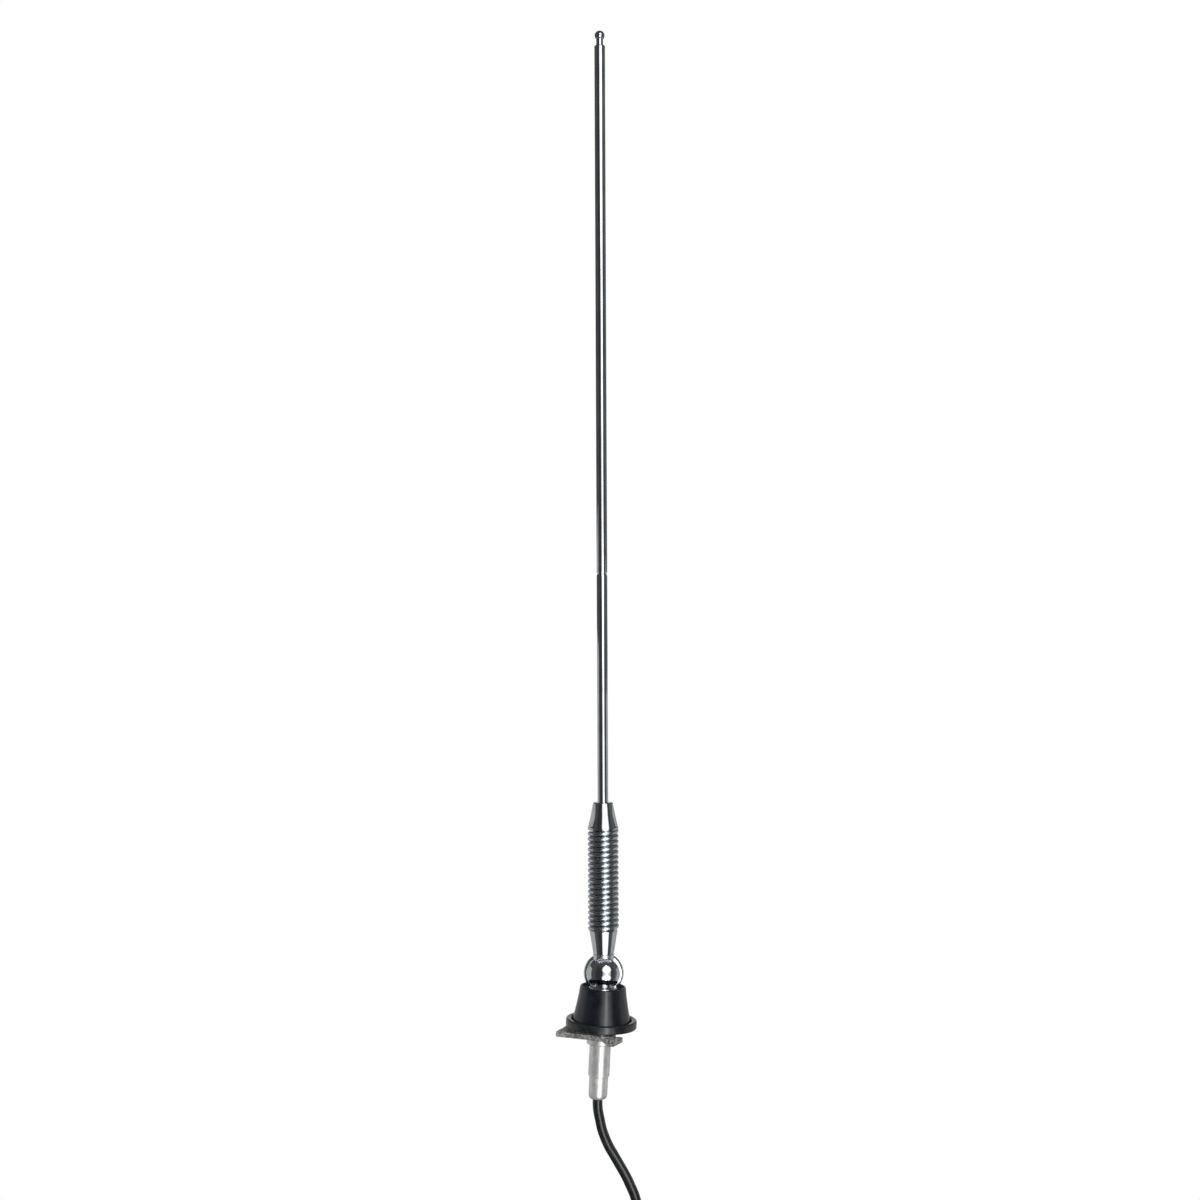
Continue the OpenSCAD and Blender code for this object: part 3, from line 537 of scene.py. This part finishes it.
def hank_route():
    """The whole cable, in mm: its drop, five turns of the hank, each laid beside the last, and its tail."""
    way = list(CABLE_DROP)
    inner, outer = 15.0, 20.0
    for turn, y in enumerate((-LAYER, 0.0, LAYER)):
        way += [(HANK_X + inner, y, -130), (HANK_X + inner, y, -160), (HANK_X + inner, y, -185)]
        way += fold(HANK_X, inner, True, y, y)
        if turn < 2:
            way += [(HANK_X - inner, y, -185), (HANK_X - inner, y, -163), (HANK_X - inner, y + LAYER / 2, -143),
                    (HANK_X - inner, y + LAYER, -127)]
            way += fold(HANK_X, inner, False, y + LAYER, y + LAYER)
    way += [(HANK_X - inner - 0.8, LAYER, -192), (HANK_X - inner - 2.5, LAYER, -180),
            (HANK_X - inner - 4.3, LAYER, -168), (HANK_X - outer, LAYER, -156), (HANK_X - outer, LAYER, -135)]
    way += fold(HANK_X, outer, False, LAYER, LAYER)
    way += [(HANK_X + outer, LAYER, -130), (HANK_X + outer, LAYER, -160), (HANK_X + outer, LAYER, -185)]
    way += fold(HANK_X, outer, True, LAYER, 0)
    way += [(HANK_X - outer, 0, -185), (HANK_X - outer, 0, -160), (HANK_X - outer, 0, -130)]
    way += fold(HANK_X, outer, False, 0, 0)
    way += [(HANK_X + outer, 0, -130), (HANK_X + outer, 0, -160), (HANK_X + outer, 0, -185)]
    for i in range(13):
        turn = math.pi * i / 12
        share = i / 12
        way.append((5.5 + 22.5 * math.cos(turn), 7.6 * share * share * (3 - 2 * share),
                    FOLD_FOOT - 25 * math.sin(turn)))
    return way + TAIL


def smoothed(points, spacing):
    """Evenly spaced points of a curve through the given ones: each stretch heads as its neighbours do."""
    pts = [Vector(p) for p in points]
    fine = [pts[0]]
    for i in range(len(pts) - 1):
        before, a, b, after = pts[max(i - 1, 0)], pts[i], pts[i + 1], pts[min(i + 2, len(pts) - 1)]
        gap = (b - a).length
        lead = (b - before).normalized() * gap
        trail = (after - a).normalized() * gap
        steps = max(1, round(gap / spacing))
        for k in range(1, steps + 1):
            t = k / steps
            fine.append((2 * t ** 3 - 3 * t ** 2 + 1) * a + (t ** 3 - 2 * t ** 2 + t) * lead
                        + (3 * t ** 2 - 2 * t ** 3) * b + (t ** 3 - t ** 2) * trail)
    return fine


def make_cable():
    """The free cable, one open curve from the crimp ferrule to the plug's foot."""
    data = bpy.data.curves.new("coaxial_cable", "CURVE")
    data.dimensions = "3D"
    points = smoothed(hank_route(), 2.0)
    spline = data.splines.new("POLY")
    spline.points.add(len(points) - 1)
    for point, place in zip(spline.points, points):
        point.co = (*(place * MM), 1)
    spline.use_smooth = True
    data.bevel_depth, data.bevel_resolution, data.use_fill_caps = CABLE_D / 2 * MM, 6, True
    cable = bpy.data.objects.new("coaxial_cable", data)
    bpy.context.scene.collection.objects.link(cable)
    take(cable)
    bpy.ops.object.convert(target="MESH")
    cable = bpy.context.object
    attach(cable, "base")
    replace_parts(cable, "cable", "cable_hank", "cable_tail")
    return give(smooth(mend(cable), 60), "extruded_pvc_jacket"), [p * MM for p in points]


cable, cable_path = make_cable()

# ---------------------------------------------------------------- mast

OUTER_R, OUTER_BORE_R = 2.675, 2.275
MIDDLE_R, MIDDLE_BORE_R = 2.15, 1.8
INNER_R = 1.7
SLIDE_GAP, SHOE_WALL, SHOE_LEN = 0.04, 0.5, 12
FERRULE_FOOT = 10.05
SPRING_FOOT = FERRULE_FOOT + 12
SPRING_HEAD = SPRING_FOOT + 49.99
MAST_FOOT = SPRING_HEAD + 13.75
MAST_TOP = MAST_FOOT + 378.25
CRIMP_UP = MAST_FOOT + 114
TIP_FOOT = MAST_TOP + 3.3


def rolled_tube(name, outer, bore, lip, foot, top, crimp=None):
    """A tube whose top is rolled in round the section inside it, with a stop crimp if it has one."""
    crimp_out = crimp_in = []
    if crimp:
        waist = [(-1.0, 0), (-0.75, 0.05), (-0.4, 0.22), (0, 0.3), (0.4, 0.22), (0.75, 0.05), (1.0, 0)]
        crimp_out = [(outer - d, crimp + z) for z, d in waist]
        crimp_in = [(bore - d, crimp + z) for z, d in reversed(waist)]
    roll = 0.55
    outline = ([(bore, foot), (outer, foot)] + crimp_out + arc((outer - roll, top - roll), roll, 0, 75, 6)
               + [((outer + lip) / 2 - 0.1, top), (lip, top - 0.05), (lip, top - 1.5), (bore, top - 1.5)]
               + crimp_in + [(bore, foot)])
    return lean_with_mast(turned(name, outline, angle=50))


def make_mast():
    outer = rolled_tube("outer_tube", OUTER_R, OUTER_BORE_R, MIDDLE_R + SLIDE_GAP, MAST_FOOT - 8, MAST_TOP,
                        CRIMP_UP)
    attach(give(outer, "chrome_plate"), "mast")
    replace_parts(outer, "mast_outer")

    middle_foot = CRIMP_UP + 1.3
    shoe_top = middle_foot + SHOE_LEN
    middle_top = MAST_TOP - 0.3
    neck = OUTER_BORE_R - SLIDE_GAP - SHOE_WALL
    roll = 0.3
    lip = INNER_R + SLIDE_GAP
    middle = turned("middle_tube", (
        [(neck - 0.35, middle_foot), (neck, middle_foot), (neck, shoe_top), (MIDDLE_R - 0.1, shoe_top),
         (MIDDLE_R, shoe_top + 0.1)] + arc((MIDDLE_R - roll, middle_top - roll), roll, 0, 75, 5)
        + [(lip, middle_top - 0.03), (lip, middle_top - 1.5), (MIDDLE_BORE_R, middle_top - 1.5),
           (MIDDLE_BORE_R, shoe_top + 0.15), (neck - 0.35, shoe_top + 0.15),
           (neck - 0.35, middle_foot)]), angle=50)
    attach(give(lean_with_mast(middle), "polished_stainless"), "middle")
    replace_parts(middle, "mast_middle")

    inner_foot = shoe_top + 0.3
    neck = MIDDLE_BORE_R - SLIDE_GAP - SHOE_WALL
    rod = turned("inner_rod", [
        (neck, inner_foot), (neck, inner_foot + SHOE_LEN), (INNER_R - 0.1, inner_foot + SHOE_LEN),
        (INNER_R, inner_foot + SHOE_LEN + 0.1), (INNER_R, TIP_FOOT), (1.0, TIP_FOOT),
        (1.0, TIP_FOOT + 2.9), (0.9, TIP_FOOT + 3)])
    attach(give(lean_with_mast(rod), "polished_stainless"), "inner")
    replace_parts(rod, "mast_inner")

    under = TIP_FOOT + 1.7
    button = turned("tip_button_turned", (
        [(1.02, TIP_FOOT), (1.75, TIP_FOOT), (1.95, TIP_FOOT + 0.1), (2.2, TIP_FOOT + 0.55),
         (2.42, TIP_FOOT + 1.2)] + arc((0, under), 2.5, 0, 84, 12)
        + [(0, under + 2.5)]), sides=64, angle=60)
    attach(give(lean_with_mast(button), "chrome_plate"), "inner")
    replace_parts(button, "tip_button")


def make_ferrules():
    band = 1.3
    upper = turned("upper_ferrule_turned", (
        [(4.75, SPRING_HEAD - 5), (4.87, SPRING_HEAD - 4.8), (4.87, SPRING_HEAD), (7.45, SPRING_HEAD),
         (7.65, SPRING_HEAD + 0.2), (7.65, SPRING_HEAD + band - 0.15), (7.55, SPRING_HEAD + band + 0.05)]
        + [(7.3, SPRING_HEAD + band + 0.9), (6.1, SPRING_HEAD + 7.5), (5.05, MAST_FOOT - 0.75)]
        + arc((4.45, MAST_FOOT - 0.5), 0.5, 10, 90, 5) + [(2.72, MAST_FOOT)]), angle=30)
    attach(give(lean_with_mast(upper), "chrome_plate"), "mast")
    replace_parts(upper, "upper_ferrule")

    foot = FERRULE_FOOT
    lower = turned("lower_ferrule_turned", (
        [(2.0, foot - 1.25), (2.0, foot), (4.95, foot), (5.2, foot + 0.25), (6.95, SPRING_FOOT - 1.0)]
        + arc((6.8, SPRING_FOOT - 0.3), 0.3, 0, 90, 4) + [(4.87, SPRING_FOOT), (4.87, SPRING_FOOT + 4.8),
                                                         (4.75, SPRING_FOOT + 5)]), angle=30)
    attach(give(lean_with_mast(lower), "chrome_plate"), "swivel")
    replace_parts(lower, "lower_ferrule")


COIL_R, WIRE_R, HALF_TURNS = 6.475, 1.275, 9.5
END_GAP = 0.03
WHEEL_R, WHEEL_T = 12, 4


def half_coil(name, start, wheel_foot, z_a, z_b):
    """Half of the close-wound spring: a ring of wire screwed round the axis, its end ground flat."""
    clear_selection()
    ring = (COIL_R * math.cos(start) * MM, COIL_R * math.sin(start) * MM, z_a * MM)
    bpy.ops.mesh.primitive_circle_add(vertices=20, radius=WIRE_R * MM, location=ring,
                                      rotation=(math.pi / 2, 0, start))
    coil = bpy.context.object
    coil.name = name
    settle(coil)
    screw = coil.modifiers.new("wind", "SCREW")
    screw.axis, screw.angle, screw.screw_offset = "Z", 2 * math.pi * HALF_TURNS, (z_b - z_a) * MM
    screw.steps = screw.render_steps = int(60 * HALF_TURNS)
    screw.use_merge_vertices = False
    apply_all(coil)
    bpy.ops.object.mode_set(mode="EDIT")
    bpy.ops.mesh.select_all(action="SELECT")
    bpy.ops.mesh.remove_doubles(threshold=1e-6)
    bpy.ops.mesh.fill_holes(sides=0)
    bpy.ops.mesh.normals_make_consistent(inside=False)
    bpy.ops.object.mode_set(mode="OBJECT")
    wheel = block("grinding", (-WHEEL_R, -WHEEL_R, wheel_foot), (WHEEL_R, WHEEL_R, wheel_foot + WHEEL_T))
    combine(coil, wheel, "DIFFERENCE")
    smooth(lean_with_mast(coil), 60)
    give(coil, "plated_spring_wire")
    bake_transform(coil)
    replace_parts(coil, "spring")


def half_braid(name, foot, head):
    """Half of the braid inside the spring, made of rings close together."""
    steps = 14
    rings = [(1.2, foot + (head - foot) * i / steps) for i in range(steps + 1)]
    braid = turned(name, rings, sides=24, angle=60)
    lean_with_mast(braid)
    give(braid, "tinned_copper_braid")
    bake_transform(braid)
    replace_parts(braid, "spring_braid")


def make_spring():
    middle = (SPRING_FOOT + SPRING_HEAD) / 2
    half_coil("spring_lower_half", math.radians(90), SPRING_FOOT + END_GAP - WHEEL_T,
              SPRING_FOOT, middle)
    half_coil("spring_upper_half", math.radians(270), SPRING_HEAD - END_GAP,
              middle, SPRING_HEAD)
    half_braid("braid_lower_half", SPRING_FOOT + 2.1, middle)
    half_braid("braid_upper_half", middle, SPRING_HEAD - 2.1)


make_mast()
make_ferrules()
make_spring()

# ---------------------------------------------------------------- swivel

FRONT_R, FRONT_RIM, FRONT_BULGE = 8.1, 1.4, 4.6
REAR_R, REAR_RIM, REAR_BULGE = 10.0, 1.7, 3.6
FACE = 0.05


def dome(name, radius, rim, bulge, edge_r):
    """A domed disc standing on z = 0, the edge of its flat face rounded."""
    ball = (radius ** 2 + bulge ** 2) / (2 * bulge)
    centre = rim + bulge - ball
    edge = math.degrees(math.asin((rim - centre) / ball))
    outline = arc((radius - edge_r, edge_r), edge_r, -90, 0, 8) + [(radius, rim - 0.1)]
    outline += arc((0, centre), ball, edge + 1.2, 88, 26) + [(0, rim + bulge)]
    return turned(name, outline, sides=128, angle=30)


def make_base_knuckle():
    foot, sole, top = 14.3, 16.2, PIVOT_UP - 6.2
    knuckle = turned("front_knuckle", [
        (2.5, 4), (2.5, foot), (7.15, foot), (7.3, foot + 0.15), (7.3, sole - 0.1), (7.2, sole)])
    post = turned("post", (
        [(7.3, sole - 0.4), (7.3, top - 1)] + arc((6.3, top - 1), 1.0, 0, 90, 8)
        + [(5.9, top)] + [(5.9 - 0.5 * math.sin(math.radians(a)), top + 0.5 - 0.5 * math.cos(math.radians(a)))
                          for a in (30, 60, 90)] + [(5.4, PIVOT_UP)]))
    combine(post, block("front_half", (-20, -20, 0), (20, -FACE, 60)), "INTERSECT")
    combine(knuckle, post, "UNION")
    front = dome("front_dome", FRONT_R, FRONT_RIM, FRONT_BULGE, 0.2)
    front.rotation_euler = (math.pi / 2, 0, 0)
    front.location = (0, -FACE * MM, PIVOT_UP * MM)
    combine(knuckle, settle(front), "UNION")
    smooth(mend(knuckle), 28)
    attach(give(knuckle, "chrome_plate"), "base")
    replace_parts(knuckle, "base_knuckle")


def make_rear_knuckle():
    """Made with the swivel's axis through the origin, then leaned with the mast."""
    knuckle = dome("rear_knuckle_plated", REAR_R, REAR_RIM, REAR_BULGE, 1.5)
    knuckle.rotation_euler = (-math.pi / 2, 0, 0)
    knuckle.location = (0, FACE * MM, 0)
    settle(knuckle)
    saddle = turned("saddle", [(5.2, 5), (5.2, FERRULE_FOOT - 0.2), (5.0, FERRULE_FOOT)])
    sweep = turned("sweep", [(FRONT_R + 0.4, 0), (FRONT_R + 0.4, 12)])
    sweep.rotation_euler = (math.pi / 2, 0, 0)
    sweep.location = (0, FACE * MM, 0)
    combine(saddle, settle(sweep), "DIFFERENCE")
    combine(knuckle, saddle, "UNION")
    well = turned("well", [(3.7, 2.5), (3.7, 9)], sides=64)
    well.rotation_euler = (-math.pi / 2, 0, 0)
    combine(knuckle, settle(well), "DIFFERENCE")
    hole = turned("hole", [(2.05, -1), (2.05, 9)], sides=64)
    hole.rotation_euler = (-math.pi / 2, 0, 0)
    combine(knuckle, settle(hole), "DIFFERENCE")
    smooth(mend(knuckle), 28)
    lean_with_mast(knuckle)
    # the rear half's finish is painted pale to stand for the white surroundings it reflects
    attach(give(knuckle, "satin_chrome_painted_pale"), "swivel")
    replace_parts(knuckle, "rear_knuckle")


def make_swivel_screw():
    head_y = 2.5 + 0.4 + 0.1
    screw = turned("swivel_screw_slotted", (
        [(1.85, -4.6), (2.0, -4.4), (2.0, head_y), (3.3, head_y), (3.4, head_y + 0.1)]
        + arc((2.9, head_y + 1.6), 0.5, 0, 90, 5)), sides=64)
    screw.rotation_euler = (-math.pi / 2, 0, 0)
    screw.location = (0, 0, PIVOT_UP * MM)
    settle(screw)
    top = head_y + 2.1
    combine(screw, block("slot", (-8, top - 0.8, PIVOT_UP - 0.5), (8, top + 1, PIVOT_UP + 0.5)), "DIFFERENCE")
    smooth(mend(screw), 28)
    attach(give(screw, "turned_steel"), "base")
    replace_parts(screw, "swivel_screw")


make_base_knuckle()
make_rear_knuckle()
make_swivel_screw()

# ---------------------------------------------------------------- boot, gasket and shank

BOOT_R, BOOT_TOP_R, BOOT_BORE_R, BOOT_TOP, WEB = 14.9, 11.5, 8.637, 20.2, 1.6


def make_boot():
    rim = (BOOT_TOP_R - BOOT_BORE_R) / 2
    wall, lip = BOOT_TOP - rim, 0.5
    outline = ([(5.6, WEB), (BOOT_R - 0.25, WEB), (BOOT_R, WEB + 0.25)]
               + [(BOOT_R + (BOOT_TOP_R - BOOT_R) * t - 0.18 * math.sin(math.pi * t),
                   WEB + (wall - WEB) * t) for t in (0.04, 0.15, 0.3, 0.5, 0.7, 0.85)]
               + arc((BOOT_TOP_R - lip, BOOT_TOP - lip), lip, 0, 180, 10)
               + [(BOOT_TOP_R - 2 * lip - 0.1, BOOT_TOP - 1.0), (BOOT_BORE_R + 0.25, wall - 0.6),
                  (BOOT_BORE_R, wall - 1.2), (BOOT_BORE_R, 6.0), (BOOT_BORE_R - 0.5, 5.5), (5.6, 5.5),
                  (5.6, WEB)])
    boot = turned("rubber_boot", outline, sides=128, angle=40)
    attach(give(boot, "moulded_epdm_rubber"), "pad")
    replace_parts(boot, "boot")


def make_gasket():
    bead_in, bead_w, bead_h = BOOT_R + 0.1, 2.75, 4.0
    corner = bead_w / 3
    outline = ([(6.2, 0)] + arc((bead_in + bead_w - 0.6, 0.6), 0.6, -90, 0, 5)
               + arc((bead_in + bead_w - corner, bead_h - corner), corner, 0, 90, 8)
               + arc((bead_in + corner, bead_h - corner), corner, 90, 180, 8)
               + [(bead_in, WEB + 0.15), (bead_in - 0.15, WEB), (6.35, WEB), (6.2, WEB - 0.15), (6.2, 0)])
    gasket = turned("sealing_gasket", outline, sides=128, angle=40)
    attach(give(gasket, "soft_sealing_rubber"), "pad")
    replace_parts(gasket, "gasket")


def make_shank():
    outline = [(4.3, -24.5), (5.1, -24.5), (5.3, -24.3), (5.3, 4.6)]
    # the thread that the clamp nut runs on, inside the boot: 1 mm pitch, drawn as rings
    for i in range(8):
        z = 4.8 + i
        outline += [(5.3, z), (5.3, z + 0.3), (5.05, z + 0.5), (5.05, z + 0.6), (5.3, z + 0.8)]
    outline += [(5.3, 12.9), (5.1, 13.1), (4.3, 13.1), (4.3, -24.5)]
    shank = turned("threaded_shank", outline, sides=64, angle=25)
    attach(give(shank, "bright_zinc_plate"), "base")
    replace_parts(shank, "shank")

    foot = -36.0
    crimp = turned("crimped_ferrule", (
        [(2.52, foot), (3.45, foot), (3.6, foot + 0.1), (4.1, foot + 0.45), (4.5, foot + 1.15),
         (4.7, foot + 2.2),
         (4.7, -25.3), (4.5, -24.9), (4.5, -24.52), (4.28, -24.5), (4.28, -21.5), (2.52, -21.5), (2.52, foot)]),
        sides=64, angle=30)
    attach(give(crimp, "bright_zinc_plate"), "base")
    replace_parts(crimp, "crimp_ferrule")

    ring_top = -5.8
    retainer = turned("claw_ring", [
        (5.32, ring_top - 2.8), (6.5, ring_top - 2.8), (6.9, ring_top - 2.4), (6.9, ring_top - 0.2),
        (6.7, ring_top), (5.32, ring_top), (5.32, ring_top - 2.8)], sides=64)
    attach(give(retainer, "bright_zinc_plate"), "base")
    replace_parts(retainer, "claw_retainer")


make_boot()
make_gasket()
make_shank()

# ---------------------------------------------------------------- claw

CLAW_TOP, CLAW_FOOT, CLAW_TURN = -3.1, -5.8, math.radians(-14)


def flat_plate(name, corners, foot, thick):
    """A plate with the given corners, drawn up from a many-sided circle whose points are moved to them."""
    clear_selection()
    bpy.ops.mesh.primitive_circle_add(vertices=len(corners), radius=5 * MM, location=(0, 0, foot * MM),
                                      fill_type="NGON")
    plate = bpy.context.object
    plate.name = name
    settle(plate)
    bpy.ops.object.mode_set(mode="EDIT")
    bpy.ops.mesh.select_mode(type="VERT")
    for i, corner in enumerate(corners):
        bpy.ops.mesh.select_all(action="DESELECT")
        bpy.ops.object.mode_set(mode="OBJECT")
        plate.data.vertices[i].select = True
        shift = Vector((corner[0] * MM, corner[1] * MM, foot * MM)) - plate.data.vertices[i].co
        bpy.ops.object.mode_set(mode="EDIT")
        bpy.ops.transform.translate(value=shift)
    bpy.ops.mesh.select_all(action="SELECT")
    bpy.ops.mesh.extrude_region_move(TRANSFORM_OT_translate={"value": (0, 0, thick * MM)})
    bpy.ops.object.mode_set(mode="OBJECT")
    return mend(plate)


def make_claw():
    """The cast claw: a toothed long arm, a hub round the shank and a short tab bent down in front."""
    hub, reach, width, thick = 7.6, 21.5, 14.0, CLAW_TOP - CLAW_FOOT
    tab_w, tab_len = 11.5, 4.4
    claw = turned("cast_claw_piece", [(hub, CLAW_FOOT), (hub, CLAW_TOP)], sides=64)
    arm = flat_plate("arm", [
        (0, -hub + 1), (0, hub - 1), (-hub, width / 2), (-reach + 2, width / 2), (-reach, -width / 2),
        (-hub, -width / 2)], CLAW_FOOT, thick)
    combine(claw, arm, "UNION")
    x = -hub - 2
    while x > -reach + 1.5:
        tooth = flat_plate("tooth", [(-0.5, -0.05), (0.5, -0.05), (0.06, 0.5), (-0.06, 0.5)], 0, width - 2)
        tooth.rotation_euler = (math.pi / 2, 0, 0)
        tooth.location = (x * MM, (width / 2 - 1) * MM, CLAW_TOP * MM)
        combine(claw, settle(tooth), "UNION")
        x -= 1.6
    tab = flat_plate("tab", [
        (-tab_w / 8, 0), (tab_w / 8, 0), (tab_w / 2, tab_len * 0.6), (tab_w / 2, tab_len),
        (-tab_w / 2, tab_len),
        (-tab_w / 2, tab_len * 0.6)], -thick, thick)
    slope = math.radians(58)
    tab.data.transform(Matrix.Translation(((hub - 1) * MM, -5.3 * MM, CLAW_TOP * MM))
                       @ Matrix.Rotation(-CLAW_TURN, 4, "Z") @ Matrix.Rotation(slope, 4, "X")
                       @ Matrix.Translation((0, -tab_len * MM, 0)))
    combine(claw, tab, "UNION")
    for name, outline in (("bore", [(5.32, -9), (5.32, 0)]), ("seat", [(7.2, -9), (7.2, CLAW_FOOT)])):
        combine(claw, turned(name, outline, sides=64), "DIFFERENCE")
    combine(claw, block("panel", (-40, -40, -2.6), (40, 40, 2)), "DIFFERENCE")
    claw.rotation_euler = (0, 0, CLAW_TURN)
    settle(claw)
    mend(claw)
    skin = claw.modifiers.new("skin", "REMESH")
    skin.mode, skin.voxel_size = "VOXEL", 0.22 * MM
    flow = claw.modifiers.new("flow", "SMOOTH")
    flow.factor, flow.iterations = 0.5, 3
    rough = bpy.data.textures.new("cast_grain", "CLOUDS")
    rough.noise_scale, rough.noise_depth = 0.9 * MM, 3
    grain = claw.modifiers.new("grain", "DISPLACE")
    grain.texture, grain.texture_coords, grain.strength, grain.mid_level = rough, "LOCAL", 0.14 * MM, 0.5
    apply_all(claw)
    smooth(claw, 60)
    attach(give(claw, "cast_zinc_alloy"), "base")
    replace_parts(claw, "claw")


make_claw()

# ---------------------------------------------------------------- plug and tie

PLUG_X, PLUG_Y, PLUG_FOOT = -12.0, 12.5, -152.0


def set_at_plug(piece):
    piece.location = (PLUG_X * MM, PLUG_Y * MM, 0)
    return settle(piece)


def make_plug():
    grip_z, barrel_z, pin_z = PLUG_FOOT + 8, PLUG_FOOT + 18, PLUG_FOOT + 28
    outline = [(2.9, PLUG_FOOT), (3.2, PLUG_FOOT + 0.2)]
    for i in range(4):
        z = PLUG_FOOT + 0.7 + i * 1.8
        r = 3.35 + i * 0.25
        outline += [(r, z), (r, z + 0.9), (r - 0.45, z + 1.15), (r - 0.45, z + 1.55)]
    outline += [(4.3, grip_z - 0.2), (4.7, grip_z + 0.3), (4.7, barrel_z - 0.5), (4.3, barrel_z),
                (1.12, barrel_z),
                (1.12, grip_z)]
    grip = turned("plug_grip_moulded", outline, sides=72, angle=30)
    rib = block("rib", (4.55, -0.25, grip_z + 1), (5.5, 0.25, barrel_z - 1))
    bpy.ops.object.mode_set(mode="EDIT")
    bpy.ops.mesh.select_all(action="SELECT")
    bpy.ops.mesh.bevel(offset=0.12 * MM, segments=2)
    bpy.ops.object.mode_set(mode="OBJECT")
    for i in range(18):
        groove = rib.copy()
        groove.data = rib.data.copy()
        bpy.context.scene.collection.objects.link(groove)
        groove.rotation_euler = (0, 0, 2 * math.pi * i / 18)
        combine(grip, settle(groove), "DIFFERENCE")
    bpy.data.objects.remove(rib)
    smooth(mend(grip), 30)
    give(set_at_plug(grip), "moulded_abs")
    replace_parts(grip, "plug_grip")

    barrel = turned("plug_barrel_turned", [
        (3.4, barrel_z), (4.0, barrel_z), (4.1, barrel_z + 0.1), (4.1, barrel_z + 3.2),
        (3.92, barrel_z + 3.4),
        (3.92, barrel_z + 4.2), (4.1, barrel_z + 4.4), (4.1, pin_z - 0.35), (3.9, pin_z - 0.05),
        (3.75, pin_z),
        (3.4, pin_z), (3.4, barrel_z)], sides=72, angle=28)
    give(set_at_plug(barrel), "bright_nickel_plate")
    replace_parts(barrel, "plug_barrel")

    core = turned("plug_core", [(1.12, barrel_z), (3.38, barrel_z), (3.38, pin_z - 0.5), (3.2, pin_z - 0.3),
                                (1.12, pin_z - 0.3), (1.12, barrel_z)], sides=48)
    give(set_at_plug(core), "natural_nylon")
    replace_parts(core, "plug_insulator")

    tip = pin_z + 12.5
    pin = turned("plug_pin_turned", (
        [(1.1, grip_z), (1.1, pin_z + 0.02), (1.5, pin_z + 0.02), (1.6, pin_z + 0.12), (1.6, tip - 1.6)]
        + [(1.55, tip - 1.0), (1.35, tip - 0.5), (0.95, tip - 0.15), (0.5, tip - 0.02), (0, tip)]),
        sides=48, angle=40)
    give(set_at_plug(pin), "bright_nickel_plate")
    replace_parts(pin, "plug_pin")
    return [grip, barrel, core, pin]


def make_tie():
    """A hook-and-loop strap round the hank and the tail."""
    gap, thick, foot, width = 0.25, 1.2, -166.0, 12.0
    corners = [(-14.5 - gap, -7.5 - gap), (30.5 + gap, -7.5 - gap), (30.5 + gap, 7.5 + gap), (-6.6, 15 + gap),
               (-14.5 - gap, 15 + gap)]
    strap = flat_plate("hank_strap", corners, foot, width)
    bpy.ops.object.mode_set(mode="EDIT")
    bpy.ops.mesh.select_mode(type="FACE")
    bpy.ops.mesh.select_all(action="DESELECT")
    bpy.ops.object.mode_set(mode="OBJECT")
    for face in strap.data.polygons:
        face.select = abs(face.normal.z) > 0.9
    bpy.ops.object.mode_set(mode="EDIT")
    bpy.ops.mesh.delete(type="FACE")
    bpy.ops.mesh.select_mode(type="EDGE")
    bpy.ops.mesh.select_all(action="DESELECT")
    bpy.ops.object.mode_set(mode="OBJECT")
    for edge in strap.data.edges:
        a, b = (strap.data.vertices[v].co for v in edge.vertices)
        edge.select = abs(a.z - b.z) > 1 * MM
    bpy.ops.object.mode_set(mode="EDIT")
    bpy.ops.mesh.bevel(offset=2.6 * MM, segments=6)
    bpy.ops.object.mode_set(mode="OBJECT")
    wall = strap.modifiers.new("wall", "SOLIDIFY")
    wall.thickness, wall.offset = thick * MM, 1.0
    edge = strap.modifiers.new("edge", "BEVEL")
    edge.width, edge.segments, edge.limit_method = 0.3 * MM, 2, "ANGLE"
    apply_all(strap)
    smooth(strap, 35)
    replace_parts(give(strap, "hook_and_loop_strap"), "hank_tie")
    return strap


plug_pieces = make_plug()
strap = make_tie()
for piece in plug_pieces + [strap]:
    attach(piece, "base")

# ---------------------------------------------------------------- inner pieces kept as they are

KEPT = {
    "clamp_washer": "turned_steel", "clamp_nut": "bright_zinc_plate", "upper_insulator": "natural_nylon",
    "lower_insulator": "natural_nylon", "feed_rod": "drawn_brass", "coax_end": "extruded_pvc_jacket",
    "swivel_washer": "turned_steel", "middle_shoe": "drawn_brass", "inner_shoe": "drawn_brass",
}
for node_name, finish in KEPT.items():
    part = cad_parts[node_name]
    part.data.materials.clear()
    part.data.materials.append(MATERIALS[finish])
